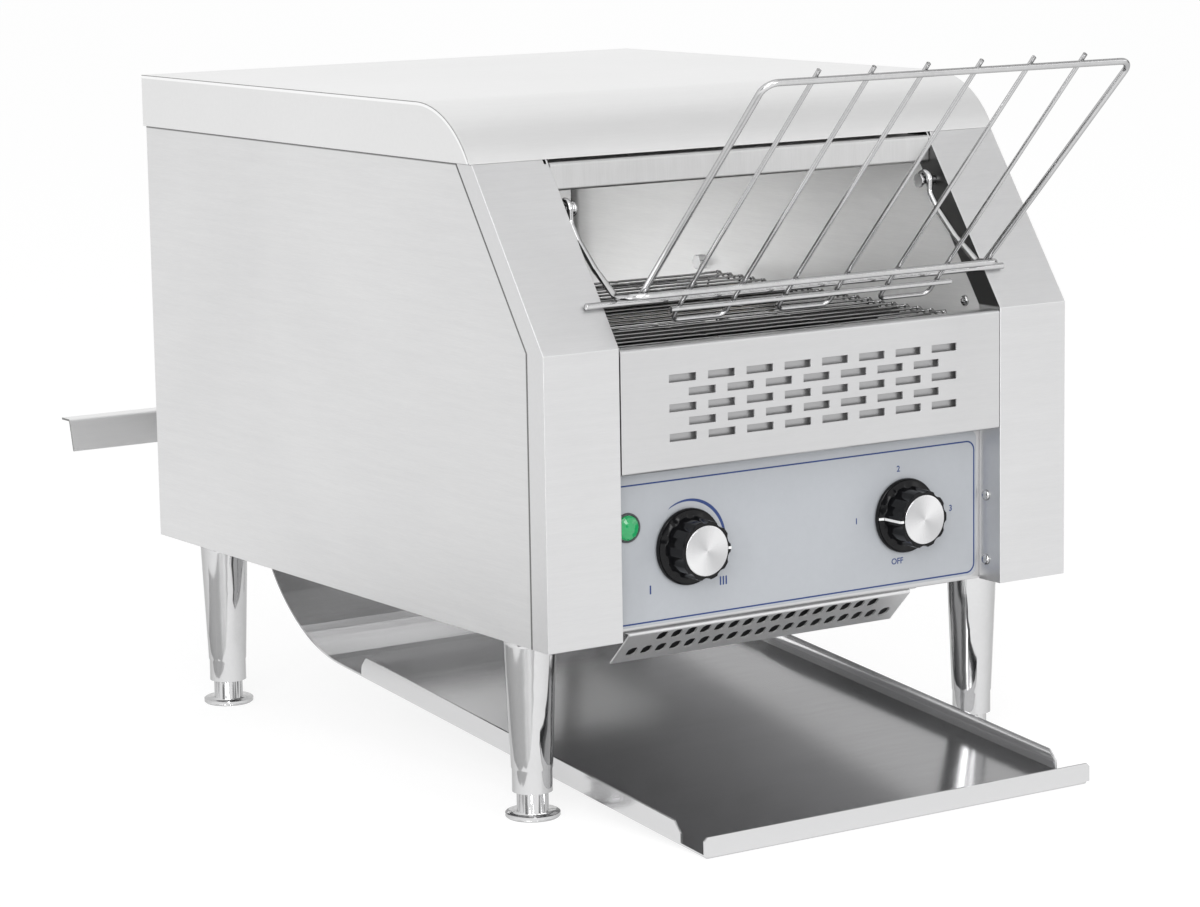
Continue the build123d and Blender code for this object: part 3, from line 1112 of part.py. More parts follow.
# ---------------------------------------------------------------- rear
def rear_guard():
    """Bar that keeps the machine off the wall, on two straps with feet on the rear panel."""
    t = REAR_GUARD_SHEET
    y, z0, z1 = CASING_DEPTH + REAR_GUARD_REACH, REAR_GUARD_BOTTOM, REAR_GUARD_BOTTOM + REAR_GUARD_HEIGHT
    bar = folded([(y + REAR_GUARD_FLANGE, z1), (y, z1), (y, z0)], t, -HALF, HALF, bend=0.6)
    for side in (-1, 1):
        corner = [(side * HALF, z1), (side * (HALF + 4), z1), (side * (HALF + 4), z0 - 1),
                  (side * (HALF - REAR_GUARD_LEAN), z0 - 1)]
        wedge = Plane.XZ * make_face(Polyline(*corner, close=True))
        bar -= Pos(0, y - 5, 0) * extrude(wedge, amount=-(REAR_GUARD_FLANGE + 10))
    low = (z0 + z1 - REAR_ARM_HEIGHT) / 2
    for x in (-REAR_ARM_OFFSET, REAR_ARM_OFFSET):
        strap = block(x, x + t, CASING_DEPTH, y, low, low + REAR_ARM_HEIGHT)
        strap += block(x, x + REAR_ARM_FOOT + t, CASING_DEPTH, CASING_DEPTH + t, low, low + REAR_ARM_HEIGHT)
        bar += strap - screw_hole(x + (REAR_ARM_FOOT + t) / 2, CASING_DEPTH + t / 2, (z0 + z1) / 2, "y")
    return bar


def cord_gland():
    """Cord gland through the rear panel: hexagon body, locknut inside and a bore for the cord."""
    seat = CASING_DEPTH
    outside = Plane(origin=(GLAND_OFFSET, seat, GLAND_HEIGHT), z_dir=(0, 1, 0))
    body = outside * extrude(RegularPolygon(GLAND_HEX, 6), amount=7)
    body += rod_y(GLAND_BODY, seat - SHEET - 8, seat + 7, GLAND_OFFSET, GLAND_HEIGHT)
    dome = [(0, 7), (GLAND_BODY + 1.5, 7), (GLAND_BODY + 1.0, 12), (GLAND_BODY - 1.5, 16), (0, 16)]
    body += turned(dome, GLAND_OFFSET, seat, (0, 1, 0), GLAND_HEIGHT)
    nut = Plane(origin=(GLAND_OFFSET, seat - SHEET, GLAND_HEIGHT), z_dir=(0, -1, 0))
    body += nut * extrude(RegularPolygon(GLAND_HEX, 6), amount=4)
    return body - rod_y(GLAND_BORE, seat - 30, seat + 30, GLAND_OFFSET, GLAND_HEIGHT)


# ---------------------------------------------------------------- screws
def pillar_screws():
    """Screws on the pillars' inner returns beside the control panel."""
    return group(pan_head(side * OPENING, PILLAR_SCREW_SETBACK, z, (-side, 0, 0))
                 for side in (-1, 1) for z in PILLAR_SCREW_HEIGHTS)


def wall_screws():
    """Screws on the inner walls near the front of the belt."""
    return group(pan_head(side * WALL_INNER, *WALL_SCREW, (-side, 0, 0)) for side in (-1, 1))


def wing_screws():
    """Knurled screws of the belt's bearings, on the inner walls behind the belt."""
    pieces = []
    for side in (-1, 1):
        plane = Plane(origin=(side * WALL_INNER, *WING_SCREW), z_dir=(-side, 0, 0))
        grip = Circle(WING_RADIUS)
        for i in range(6):
            a = 2 * pi * i / 6
            grip -= Pos(WING_RADIUS * 1.15 * cos(a), WING_RADIUS * 1.15 * sin(a)) * Circle(WING_RADIUS * 0.32)
        shank = Pos(0, 0, -1.5) * Cylinder(SCREW_RADIUS, 5)
        pieces.append(plane * (extrude(grip, amount=WING_LENGTH) + shank))
    return group(pieces)


def rear_screws():
    """Screws of the rear panel and of the guard's arms."""
    screws = [pan_head(x, CASING_DEPTH, z, (0, 1, 0)) for x, z in rear_screw_places()]
    z = REAR_GUARD_BOTTOM + REAR_GUARD_HEIGHT / 2
    for x in (-REAR_ARM_OFFSET, REAR_ARM_OFFSET):
        centre = x + (REAR_ARM_FOOT + REAR_GUARD_SHEET) / 2
        screws.append(pan_head(centre, CASING_DEPTH + REAR_GUARD_SHEET, z, (0, 1, 0), 4))
    return group(screws)


# ---------------------------------------------------------------- assembly
def build():
    """Every node of the machine, by name, with y = 0 on the front face."""
    nodes = {
        "side_cover_left": side_cover(),
        "side_cover_right": mirrored(side_cover()),
        "front_pillar_left": front_pillar(),
        "front_pillar_right": mirrored(front_pillar()),
        "top_cover": top_cover(),
        "lintel": lintel(),
        "rear_panel": rear_panel(),
        "base_plate": base_plate(),
        "inner_wall_left": inner_wall(-1),
        "inner_wall_right": inner_wall(1),
        "inner_back": inner_back(),
        "upper_reflector": upper_reflector(),
        "heat_shield": heat_shield(),
        "slotted_panel": slotted_panel(),
        "control_panel": control_panel(),
        "control_label": control_label(),
        "vent_guard": vent_guard(),
        "speed_knob": knob(-KNOB_OFFSET),
        "speed_knob_cap": knob_cap(-KNOB_OFFSET),
        "speed_spindle": spindle(-KNOB_OFFSET, REGULATOR_DEPTH * 0.6),
        "speed_regulator": speed_regulator(),
        "selector_knob": knob(KNOB_OFFSET),
        "selector_knob_cap": knob_cap(KNOB_OFFSET),
        "selector_spindle": spindle(KNOB_OFFSET, SWITCH_DEPTH * 0.6),
        "selector_switch": selector_switch(),
        "lamp_lens": lamp_lens(),
        "lamp_body": lamp_body(),
        "terminal_block": terminal_block(),
        "leg_nuts": leg_nuts(),
        "toast_tray": toast_tray(),
        "conveyor_belt": conveyor_belt(),
        "idler_shaft": idler_shaft(),
        "idler_sprockets": belt_sprockets(FRONT_AXIS),
        "drive_shaft": drive_shaft(),
        "drive_sprockets": belt_sprockets(DRIVE_AXIS),
        "shaft_chain_sprocket": chain_sprocket(False, SHAFT_RADIUS),
        "shaft_bushes": bushings(),
        "belt_supports": belt_supports(),
        "gear_motor": gear_motor(),
        "motor_bracket": motor_bracket(),
        "motor_shaft": motor_shaft(),
        "motor_chain_sprocket": chain_sprocket(True, MOTOR_SHAFT_RADIUS),
        "drive_chain": drive_chain(),
        "heater_tubes": heater_tubes(),
        "heater_ends": heater_ends(),
        "rack_arm_rail": rack_arm_rail(),
        "rack_support_rod": rack_support_rod(),
        "rack_frame": rack_frame(),
        "rack_rods": rack_rods(),
        "rack_lower_rail": rack_lower_rail(),
        "rack_studs": rack_studs(),
        "rear_guard": rear_guard(),
        "cord_gland": cord_gland(),
        "casing_screws": group([*pillar_screws().solids(), *wall_screws().solids(), *rear_screws().solids()]),
        "wing_screws": wing_screws(),
    }
    corners = {"front_left": (-LEG_OFFSET, LEG_FRONT), "front_right": (LEG_OFFSET, LEG_FRONT),
               "rear_left": (-LEG_OFFSET, LEG_REAR), "rear_right": (LEG_OFFSET, LEG_REAR)}
    nodes["legs"] = group(leg(x, y) for x, y in corners.values())
    for name, (x, y) in corners.items():
        nodes[f"foot_{name}"] = foot(x, y)
    return nodes


def main():
    os.makedirs("parts", exist_ok=True)
    for name, solid in build().items():
        export_step(Pos(0, FRONT_Y, 0) * solid, f"parts/{name}.step")


main()
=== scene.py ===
"""Looks of a counter-top conveyor toaster: brushed casing, printed control face, wire belt and rack.

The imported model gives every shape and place. This script dresses those shapes, adds the printed and
moulded details that sit on them, and sets up the studio. Everything is in metres, in the model's frame:
+Z up, -Y towards the user, +X to the user's right.
"""

from __future__ import annotations

import json
import logging
import math
from contextlib import contextmanager
from dataclasses import dataclass
from enum import Enum
from functools import reduce
from typing import Any, Callable, Iterable, Iterator, Sequence

import bpy
from mathutils import Matrix, Vector

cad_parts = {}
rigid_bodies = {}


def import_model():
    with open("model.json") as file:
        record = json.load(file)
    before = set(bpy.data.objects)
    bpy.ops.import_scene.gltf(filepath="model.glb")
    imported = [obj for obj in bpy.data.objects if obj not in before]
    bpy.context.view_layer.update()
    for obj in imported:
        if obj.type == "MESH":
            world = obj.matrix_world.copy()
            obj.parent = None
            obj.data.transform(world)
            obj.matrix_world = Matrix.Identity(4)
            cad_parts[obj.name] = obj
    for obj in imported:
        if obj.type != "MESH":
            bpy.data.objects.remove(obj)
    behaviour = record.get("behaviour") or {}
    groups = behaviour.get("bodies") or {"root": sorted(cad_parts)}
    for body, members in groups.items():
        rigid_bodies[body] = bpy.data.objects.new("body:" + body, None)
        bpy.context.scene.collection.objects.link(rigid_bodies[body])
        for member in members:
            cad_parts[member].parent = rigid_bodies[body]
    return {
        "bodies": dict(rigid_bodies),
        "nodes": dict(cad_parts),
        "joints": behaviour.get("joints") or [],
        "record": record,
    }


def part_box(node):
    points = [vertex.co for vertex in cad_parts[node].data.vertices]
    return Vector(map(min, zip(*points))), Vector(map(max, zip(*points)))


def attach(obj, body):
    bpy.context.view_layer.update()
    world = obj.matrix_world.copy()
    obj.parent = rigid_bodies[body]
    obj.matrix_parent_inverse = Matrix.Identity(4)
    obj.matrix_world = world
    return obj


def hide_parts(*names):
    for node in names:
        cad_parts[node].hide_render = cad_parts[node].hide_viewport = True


LOG = logging.getLogger("toaster")
MM = 0.001
UPRIGHT = (math.pi / 2, 0.0, 0.0)
Colour = tuple[float, float, float]
Point = tuple[float, float, float]
Node = bpy.types.Node
Socket = bpy.types.NodeSocket
Piece = bpy.types.Object


# ---------------------------------------------------------------- shader graphs
class Graph:
    """Adds and joins the nodes of one shader tree."""

    def __init__(self, tree: bpy.types.NodeTree) -> None:
        """Start on a material's or a group's node tree."""
        self.tree = tree

    @classmethod
    def material(cls, name: str) -> tuple[bpy.types.Material, Graph, Node]:
        """Start a material.

        Args:
            name: Its name.

        Returns:
            The material, its graph and its Principled BSDF.
        """
        made = bpy.data.materials.new(name)
        made.use_nodes = True
        return made, cls(made.node_tree), made.node_tree.nodes["Principled BSDF"]

    def add(self, kind: str, **values: Any) -> Node:
        """Add a node, set its properties and feed its inputs.

        Args:
            kind: The node's type name without the ShaderNode prefix, or a group's own input or output.
            **values: Properties, or what feeds inputs whose names have underscores for blanks.

        Returns:
            The new node.
        """
        node = self.tree.nodes.new(kind if kind.startswith("NodeGroup") else "ShaderNode" + kind)
        for key, value in values.items():
            if hasattr(node, key):
                setattr(node, key, value)
            else:
                self.feed(value, node.inputs[key.replace("_", " ")])
        return node

    def link(self, source: Socket, target: Socket) -> None:
        """Join an output to an input."""
        self.tree.links.new(source, target)

    def feed(self, value: Socket | Colour | float, target: Socket) -> None:
        """Join an output to an input, or set the input to a plain colour, vector or number.

        Args:
            value: The output, colour, vector or number.
            target: The input.
        """
        if isinstance(value, Socket):
            self.link(value, target)
        else:
            target.default_value = (*value, 1) if target.type == "RGBA" else value

    def math(self, operation: str, *values: Socket | float) -> Socket:
        """Add a maths node.

        Args:
            operation: The maths node's operation.
            *values: Its one, two or three values, each a socket or a number.

        Returns:
            The result's socket.
        """
        node = self.add("Math", operation=operation)
        for value, target in zip(values, node.inputs):
            self.feed(value, target)
        return node.outputs[0]

    def product(self, *values: Socket | float) -> Socket:
        """Multiply several values."""
        return reduce(lambda first, second: self.math("MULTIPLY", first, second), values)

    def length(self, a: Socket, b: Socket) -> Socket:
        """The distance that two steps at a right angle cover."""
        return self.math("SQRT", self.math("ADD", self.product(a, a), self.product(b, b)))

    def remap(self, value: Socket, **ends: float) -> Socket:
        """Map a value from one range to another, each 0 to 1 unless it is given, and keep it there."""
        return self.add("MapRange", clamp=True, Value=value, **ends).outputs["Result"]

    def spread(self, value: Socket, low: float, high: float) -> Socket:
        """Map a value of 0 to 1 onto another range."""
        return self.remap(value, To_Min=low, To_Max=high)

    def band(self, value: Socket, start: float, end: float) -> Socket:
        """A mask that rises from 0 to 1 while a value goes from start to end."""
        return self.remap(value, From_Min=start, From_Max=end)

    def average(self, first: Socket, second: Socket, share: float) -> Socket:
        """Mix two values, the second by a share of 0 to 1."""
        return self.add("Mix", data_type="FLOAT", Factor=share, A=first, B=second).outputs[0]

    def blend(self, mask: Socket, under: Socket | Colour, over: Colour) -> Socket:
        """Lay one colour over another as far as a mask says.

        Args:
            mask: 0 where the lower colour shows, 1 where the upper one does.
            under: The lower colour.
            over: The upper colour.

        Returns:
            The blended colour.
        """
        node = self.add("Mix", data_type="RGBA", Factor=mask)
        colours = [socket for socket in node.inputs if socket.type == "RGBA"]
        self.feed(under, colours[0])
        self.feed(over, colours[1])
        return next(socket for socket in node.outputs if socket.type == "RGBA")

    def noise(self, vector: Socket, scale: Socket | float, **settings: float) -> Socket:
        """The value of a noise pattern at a position, as fine as its scale says."""
        return self.add("TexNoise", Vector=vector, Scale=scale, **settings).outputs[0]

    def split(self, vector: Socket) -> list[Socket]:
        """The X, Y and Z of a vector."""
        return list(self.add("SeparateXYZ", Vector=vector).outputs)

    def facing(self) -> list[Socket]:
        """The X, Y and Z of the way that the surface faces."""
        return self.split(self.add("NewGeometry").outputs["True Normal"])

    def sideways(self, start: float, end: float) -> Socket:
        """A mask of what faces left or right."""
        return self.band(self.math("ABSOLUTE", self.facing()[0]), start, end)


class Grain(Enum):
    """Which way the brush marks of a sheet run, as scales of the noise along X, Y and Z."""

    ALONG_X = (0.05, 1.0, 1.0)
    ALONG_Y = (1.0, 0.05, 1.0)
    ALONG_Z = (1.0, 1.0, 0.05)
    NONE = (1.0, 1.0, 1.0)


class Effects:
    """Effects that several finishes share, each a node group that is made once."""

    SOCKETS = (("Vector", "INPUT", "NodeSocketVector"), ("Scale", "INPUT", "NodeSocketFloat"),
               ("Value", "OUTPUT", "NodeSocketFloat"))

    @staticmethod
    def brush_grain(graph: Graph, vector: Socket, scale: Socket) -> Socket:
        """Fine brush marks over broader ones.

        Args:
            graph: The group's graph.
            vector: The position that they read.
            scale: How fine they are.

        Returns:
            The group's value.
        """
        fine = graph.noise(vector, scale, Detail=3.0, Roughness=0.62)
        broad = graph.noise(vector, graph.product(scale, 0.14), Detail=2.0, Roughness=0.5)
        return graph.spread(graph.math("MULTIPLY_ADD", fine, 0.6, graph.product(broad, 0.4)), -0.4, 1.4)

    @staticmethod
    def handling_marks(graph: Graph, vector: Socket, scale: Socket) -> Socket:
        """Broad, faint marks from wiping and handling, as the value of the group that they fill."""
        cloud = graph.noise(vector, scale, Detail=4.0, Roughness=0.55, Distortion=0.6)
        return graph.spread(cloud, -0.35, 1.35)

    @classmethod
    def place(cls, effect: Callable[[Graph, Socket, Socket], Socket], graph: Graph, vector: Socket,
              scale: float) -> Socket:
        """Place an effect's group in a material, and make the group on its first use.

        Args:
            effect: What fills the group.
            graph: The material's graph.
            vector: The position that the effect reads.
            scale: Its scale.

        Returns:
            The effect's value.
        """
        tree = bpy.data.node_groups.get(effect.__name__)
        if not tree:
            tree = bpy.data.node_groups.new(effect.__name__, "ShaderNodeTree")
            for name, way, kind in cls.SOCKETS:
                tree.interface.new_socket(name, in_out=way, socket_type=kind)
            inner = Graph(tree)
            start, end = inner.add("NodeGroupInput"), inner.add("NodeGroupOutput")
            value = effect(inner, start.outputs["Vector"], start.outputs["Scale"])
            inner.link(value, end.inputs["Value"])
        return graph.add("Group", node_tree=tree, Vector=vector, Scale=scale).outputs[0]


# ---------------------------------------------------------------- finishes
@dataclass(frozen=True)
class Finish:
    """A finish with a colour that varies, a roughness that varies, and a fine relief."""

    name: str
    dark: Colour
    light: Colour
    roughness: tuple[float, float]
    metallic: float = 0.0
    grain: Grain = Grain.NONE
    grain_scale: float = 900.0
    marks_scale: float = 14.0
    relief: float = 0.04
    relief_depth: float = 0.4 * MM
    marks_share: float = 0.45
    coat: float = 0.0
    transmission: float = 0.0
    ior: float = 1.5
    specular: float = 0.5
    edge_tint: float = 1.0
    glow: float = 0.0
    # outline, outline_power and outline_tone set a painted dark reflection at the outline.
    outline: float = 0.0
    outline_power: float = 1.3
    outline_tone: Colour = (0.03, 0.03, 0.03)

    def material(self) -> bpy.types.Material:
        """The finish as a material, made on its first use.

        Returns:
            The material.
        """
        title = "finish_" + self.name
        found = bpy.data.materials.get(title)
        if found:
            return found
        made, graph, shader = Graph.material(title)
        for name, value in (
            ("Metallic", self.metallic), ("Coat Weight", self.coat), ("IOR", self.ior),
            ("Transmission Weight", self.transmission), ("Specular IOR Level", self.specular),
            ("Specular Tint", (*(self.edge_tint,) * 3, 1)),
        ):
            shader.inputs[name].default_value = value
        if self.glow:
            shader.inputs["Emission Color"].default_value = (*self.light, 1)
            shader.inputs["Emission Strength"].default_value = self.glow
        place = graph.add("TexCoord").outputs["Object"]
        height, tone = self.pattern(graph, place)
        colour = graph.blend(tone, self.dark, self.light)
        # Painted light and shade by position, then a painted dark reflection at the outline.
        colour = self.paint_outline_reflection(graph, self.paint_light_and_shade(graph, colour, place))
        graph.link(colour, shader.inputs["Base Color"])
        graph.link(graph.spread(tone, *self.roughness), shader.inputs["Roughness"])
        bump = graph.add("Bump", Strength=self.relief, Distance=self.relief_depth, Height=height)
        graph.link(bump.outputs["Normal"], shader.inputs["Normal"])
        return made

    def pattern(self, graph: Graph, place: Socket) -> tuple[Socket, Socket]:
        """The height of the relief, and the tone that colour and roughness follow.

        Args:
            graph: The material's graph.
            place: The position on the piece.

        Returns:
            The height and the tone.
        """
        stretched = graph.add("Mapping", Vector=place, Scale=self.grain.value).outputs[0]
        grain = Effects.place(Effects.brush_grain, graph, stretched, self.grain_scale)
        marks = Effects.place(Effects.handling_marks, graph, place, self.marks_scale)
        return grain, graph.average(grain, marks, self.marks_share)

    def paint_light_and_shade(self, graph: Graph, colour: Socket, place: Socket) -> Socket:
        """Paint light and shade onto the colour by the position on the piece, where a finish has any:
        painted shade, highlights and reflections.
        """
        return colour

    def paint_outline_reflection(self, graph: Graph, colour: Socket) -> Socket:
        """Paint a dark reflection into the colour of bright metal where it turns away, for the dark
        surroundings that it would mirror.

        Args:
            graph: The material's graph.
            colour: The colour so far.

        Returns:
            The colour, with the painted dark reflection at its outline.
        """
        if not self.outline:
            return colour
        turned = graph.add("LayerWeight", Blend=0.5).outputs["Facing"]
        mask = graph.product(graph.math("POWER", turned, self.outline_power), self.outline)
        return graph.blend(mask, colour, self.outline_tone)


@dataclass(frozen=True)
class SeamShadowSheet(Finish):
    """A side cover's sheet, with painted shadow lines in the gaps along the cover above and the pillar in
    front.
    """

    cover_edge: float = 0.3688
    pillar_edge: float = -0.219
    bend: float = 0.2698
    lean: float = 0.694
    width: float = 0.7 * MM
    seam_shadow: Colour = (0.05, 0.05, 0.05)
    seam_shadow_strength: float = 0.8

    def paint_light_and_shade(self, graph: Graph, colour: Socket, place: Socket) -> Socket:
        """Paint the shadows in the seams.

        Args:
            graph: The material's graph.
            colour: The colour so far.
            place: The position on the piece.

        Returns:
            The colour with the seams.
        """
        _, y, z = graph.split(place)
        under_cover = graph.band(z, self.cover_edge - 2 * self.width, self.cover_edge - self.width)
        rise = graph.math("MAXIMUM", graph.math("SUBTRACT", z, self.bend), 0.0)
        behind = graph.math("SUBTRACT", y, self.pillar_edge)
        leant = graph.math("SUBTRACT", behind, graph.product(rise, self.lean))
        at_pillar = graph.band(leant, 1.6 * self.width, 0.8 * self.width)
        # Painted shadow in the gaps under the cover and beside the pillar.
        seams = graph.math("MAXIMUM", under_cover, at_pillar)
        return graph.blend(graph.product(seams, self.seam_shadow_strength), colour, self.seam_shadow)


@dataclass(frozen=True)
class ReturnedPillar(Finish):
    """A pillar's sheet, with a painted dark reflection of the dark inside on the return beside the loading
    mouth.
    """

    inner_side: float = 0.1362
    bend: float = 0.2698
    blur: float = 0.4 * MM
    shade: Colour = (0.10, 0.10, 0.10)

    def paint_light_and_shade(self, graph: Graph, colour: Socket, place: Socket) -> Socket:
        """Paint the dark reflection onto the return.

        Args:
            graph: The material's graph.
            colour: The colour so far.
            place: The position on the piece.

        Returns:
            The colour with the dark return.
        """
        x, _, z = graph.split(place)
        inside = graph.band(graph.math("ABSOLUTE", x), self.inner_side + self.blur, self.inner_side)
        above = graph.band(z, self.bend, self.bend + 1.0 * MM)
        # Painted dark reflection on the return.
        return graph.blend(graph.product(inside, graph.sideways(0.6, 0.8), above), colour, self.shade)


@dataclass(frozen=True)
class FoldedCover(Finish):
    """The cover's sheet, with a thin painted shade line and a painted highlight along the folds of its
    sides.
    """

    top: float = 0.401
    radius: float = 62.8 * MM
    nose: float = -0.1119
    # line and fold are the widths of the painted shade line and of the painted highlight.
    line: float = 0.6 * MM
    fold_shade_tone: Colour = (0.06, 0.06, 0.06)
    fold_shade_strength: float = 0.8
    fold: float = 1.8 * MM
    fold_highlight_tone: Colour = (0.97, 0.97, 0.97)

    def paint_light_and_shade(self, graph: Graph, colour: Socket, place: Socket) -> Socket:
        """Paint the shade line and the highlight of the fold, which follow the rolled front.

        Args:
            graph: The material's graph.
            colour: The colour so far.
            place: The position on the piece.

        Returns:
            The colour with both.
        """
        _, y, z = graph.split(place)
        ahead = graph.math("MINIMUM", graph.math("SUBTRACT", y, self.nose), 0.0)
        above = graph.math("SUBTRACT", z, self.top - self.radius)
        depth = graph.math("SUBTRACT", graph.length(ahead, above), self.radius)
        side = graph.sideways(0.3, 0.5)
        fold = graph.band(depth, -self.line - self.fold, -self.line - 0.7 * self.fold)
        line = graph.band(depth, -self.line, -0.7 * self.line)
        # Painted highlight on the fold, then the painted shade line at its edge.
        folded = graph.blend(graph.product(side, fold), colour, self.fold_highlight_tone)
        return graph.blend(graph.product(side, line, self.fold_shade_strength), folded, self.fold_shade_tone)


@dataclass(frozen=True)
class LippedTray(Finish):
    """The tray's sheet: polished inside, with a painted reflection of the bright surroundings on the outer
    faces of its lips.
    """

    lip_highlight: Colour = (0.68, 0.68, 0.685)
    front: float = -0.28
    front_blur: float = 10.0 * MM

    def paint_light_and_shade(self, graph: Graph, colour: Socket, place: Socket) -> Socket:
        """Paint the bright reflection onto the lips.

        Args:
            graph: The material's graph.
            colour: The colour so far.
            place: The position on the piece.

        Returns:
            The colour with the lips.
        """
        forwards = graph.band(graph.facing()[1], -0.6, -0.8)
        foremost = graph.band(graph.split(place)[1], self.front + self.front_blur, self.front)
        lips = graph.math("MAXIMUM", graph.sideways(0.6, 0.8), graph.product(forwards, foremost))
        # Painted reflection on the lips.
        return graph.blend(lips, colour, self.lip_highlight)


@dataclass(frozen=True)
class SpunDisc(Finish):
    """Aluminium turned on a lathe: fine rings, and a painted sheen that fans out from the middle, laid into
    its colour.
    """

    relief_depth: float = 0.2 * MM
    centre: Point = (0.0, 0.0, 0.0)
    rings: float = 5200.0
    sheen: float = 0.55

    def pattern(self, graph: Graph, place: Socket) -> tuple[Socket, Socket]:
        """The height of the rings, and the tone of the painted fanned sheen.

        Args:
            graph: The material's graph.
            place: The position on the piece.

        Returns:
            The height and the tone.
        """
        centred = graph.add("VectorMath", operation="SUBTRACT")
        centred.inputs[1].default_value = self.centre
        graph.link(place, centred.inputs[0])
        x, _, z = graph.split(centred.outputs[0])
        fan = graph.math("SINE", graph.product(graph.math("ARCTAN2", z, x), 2.0))
        ring = graph.math("SINE", graph.product(graph.length(x, z), self.rings))
        marks = Effects.place(Effects.handling_marks, graph, place, self.marks_scale)
        # The fanned sheen is a painted reflection, mixed into the tone that colour and roughness follow.
        return ring, graph.average(marks, graph.math("MULTIPLY_ADD", fan, 0.5, 0.5), self.sheen)


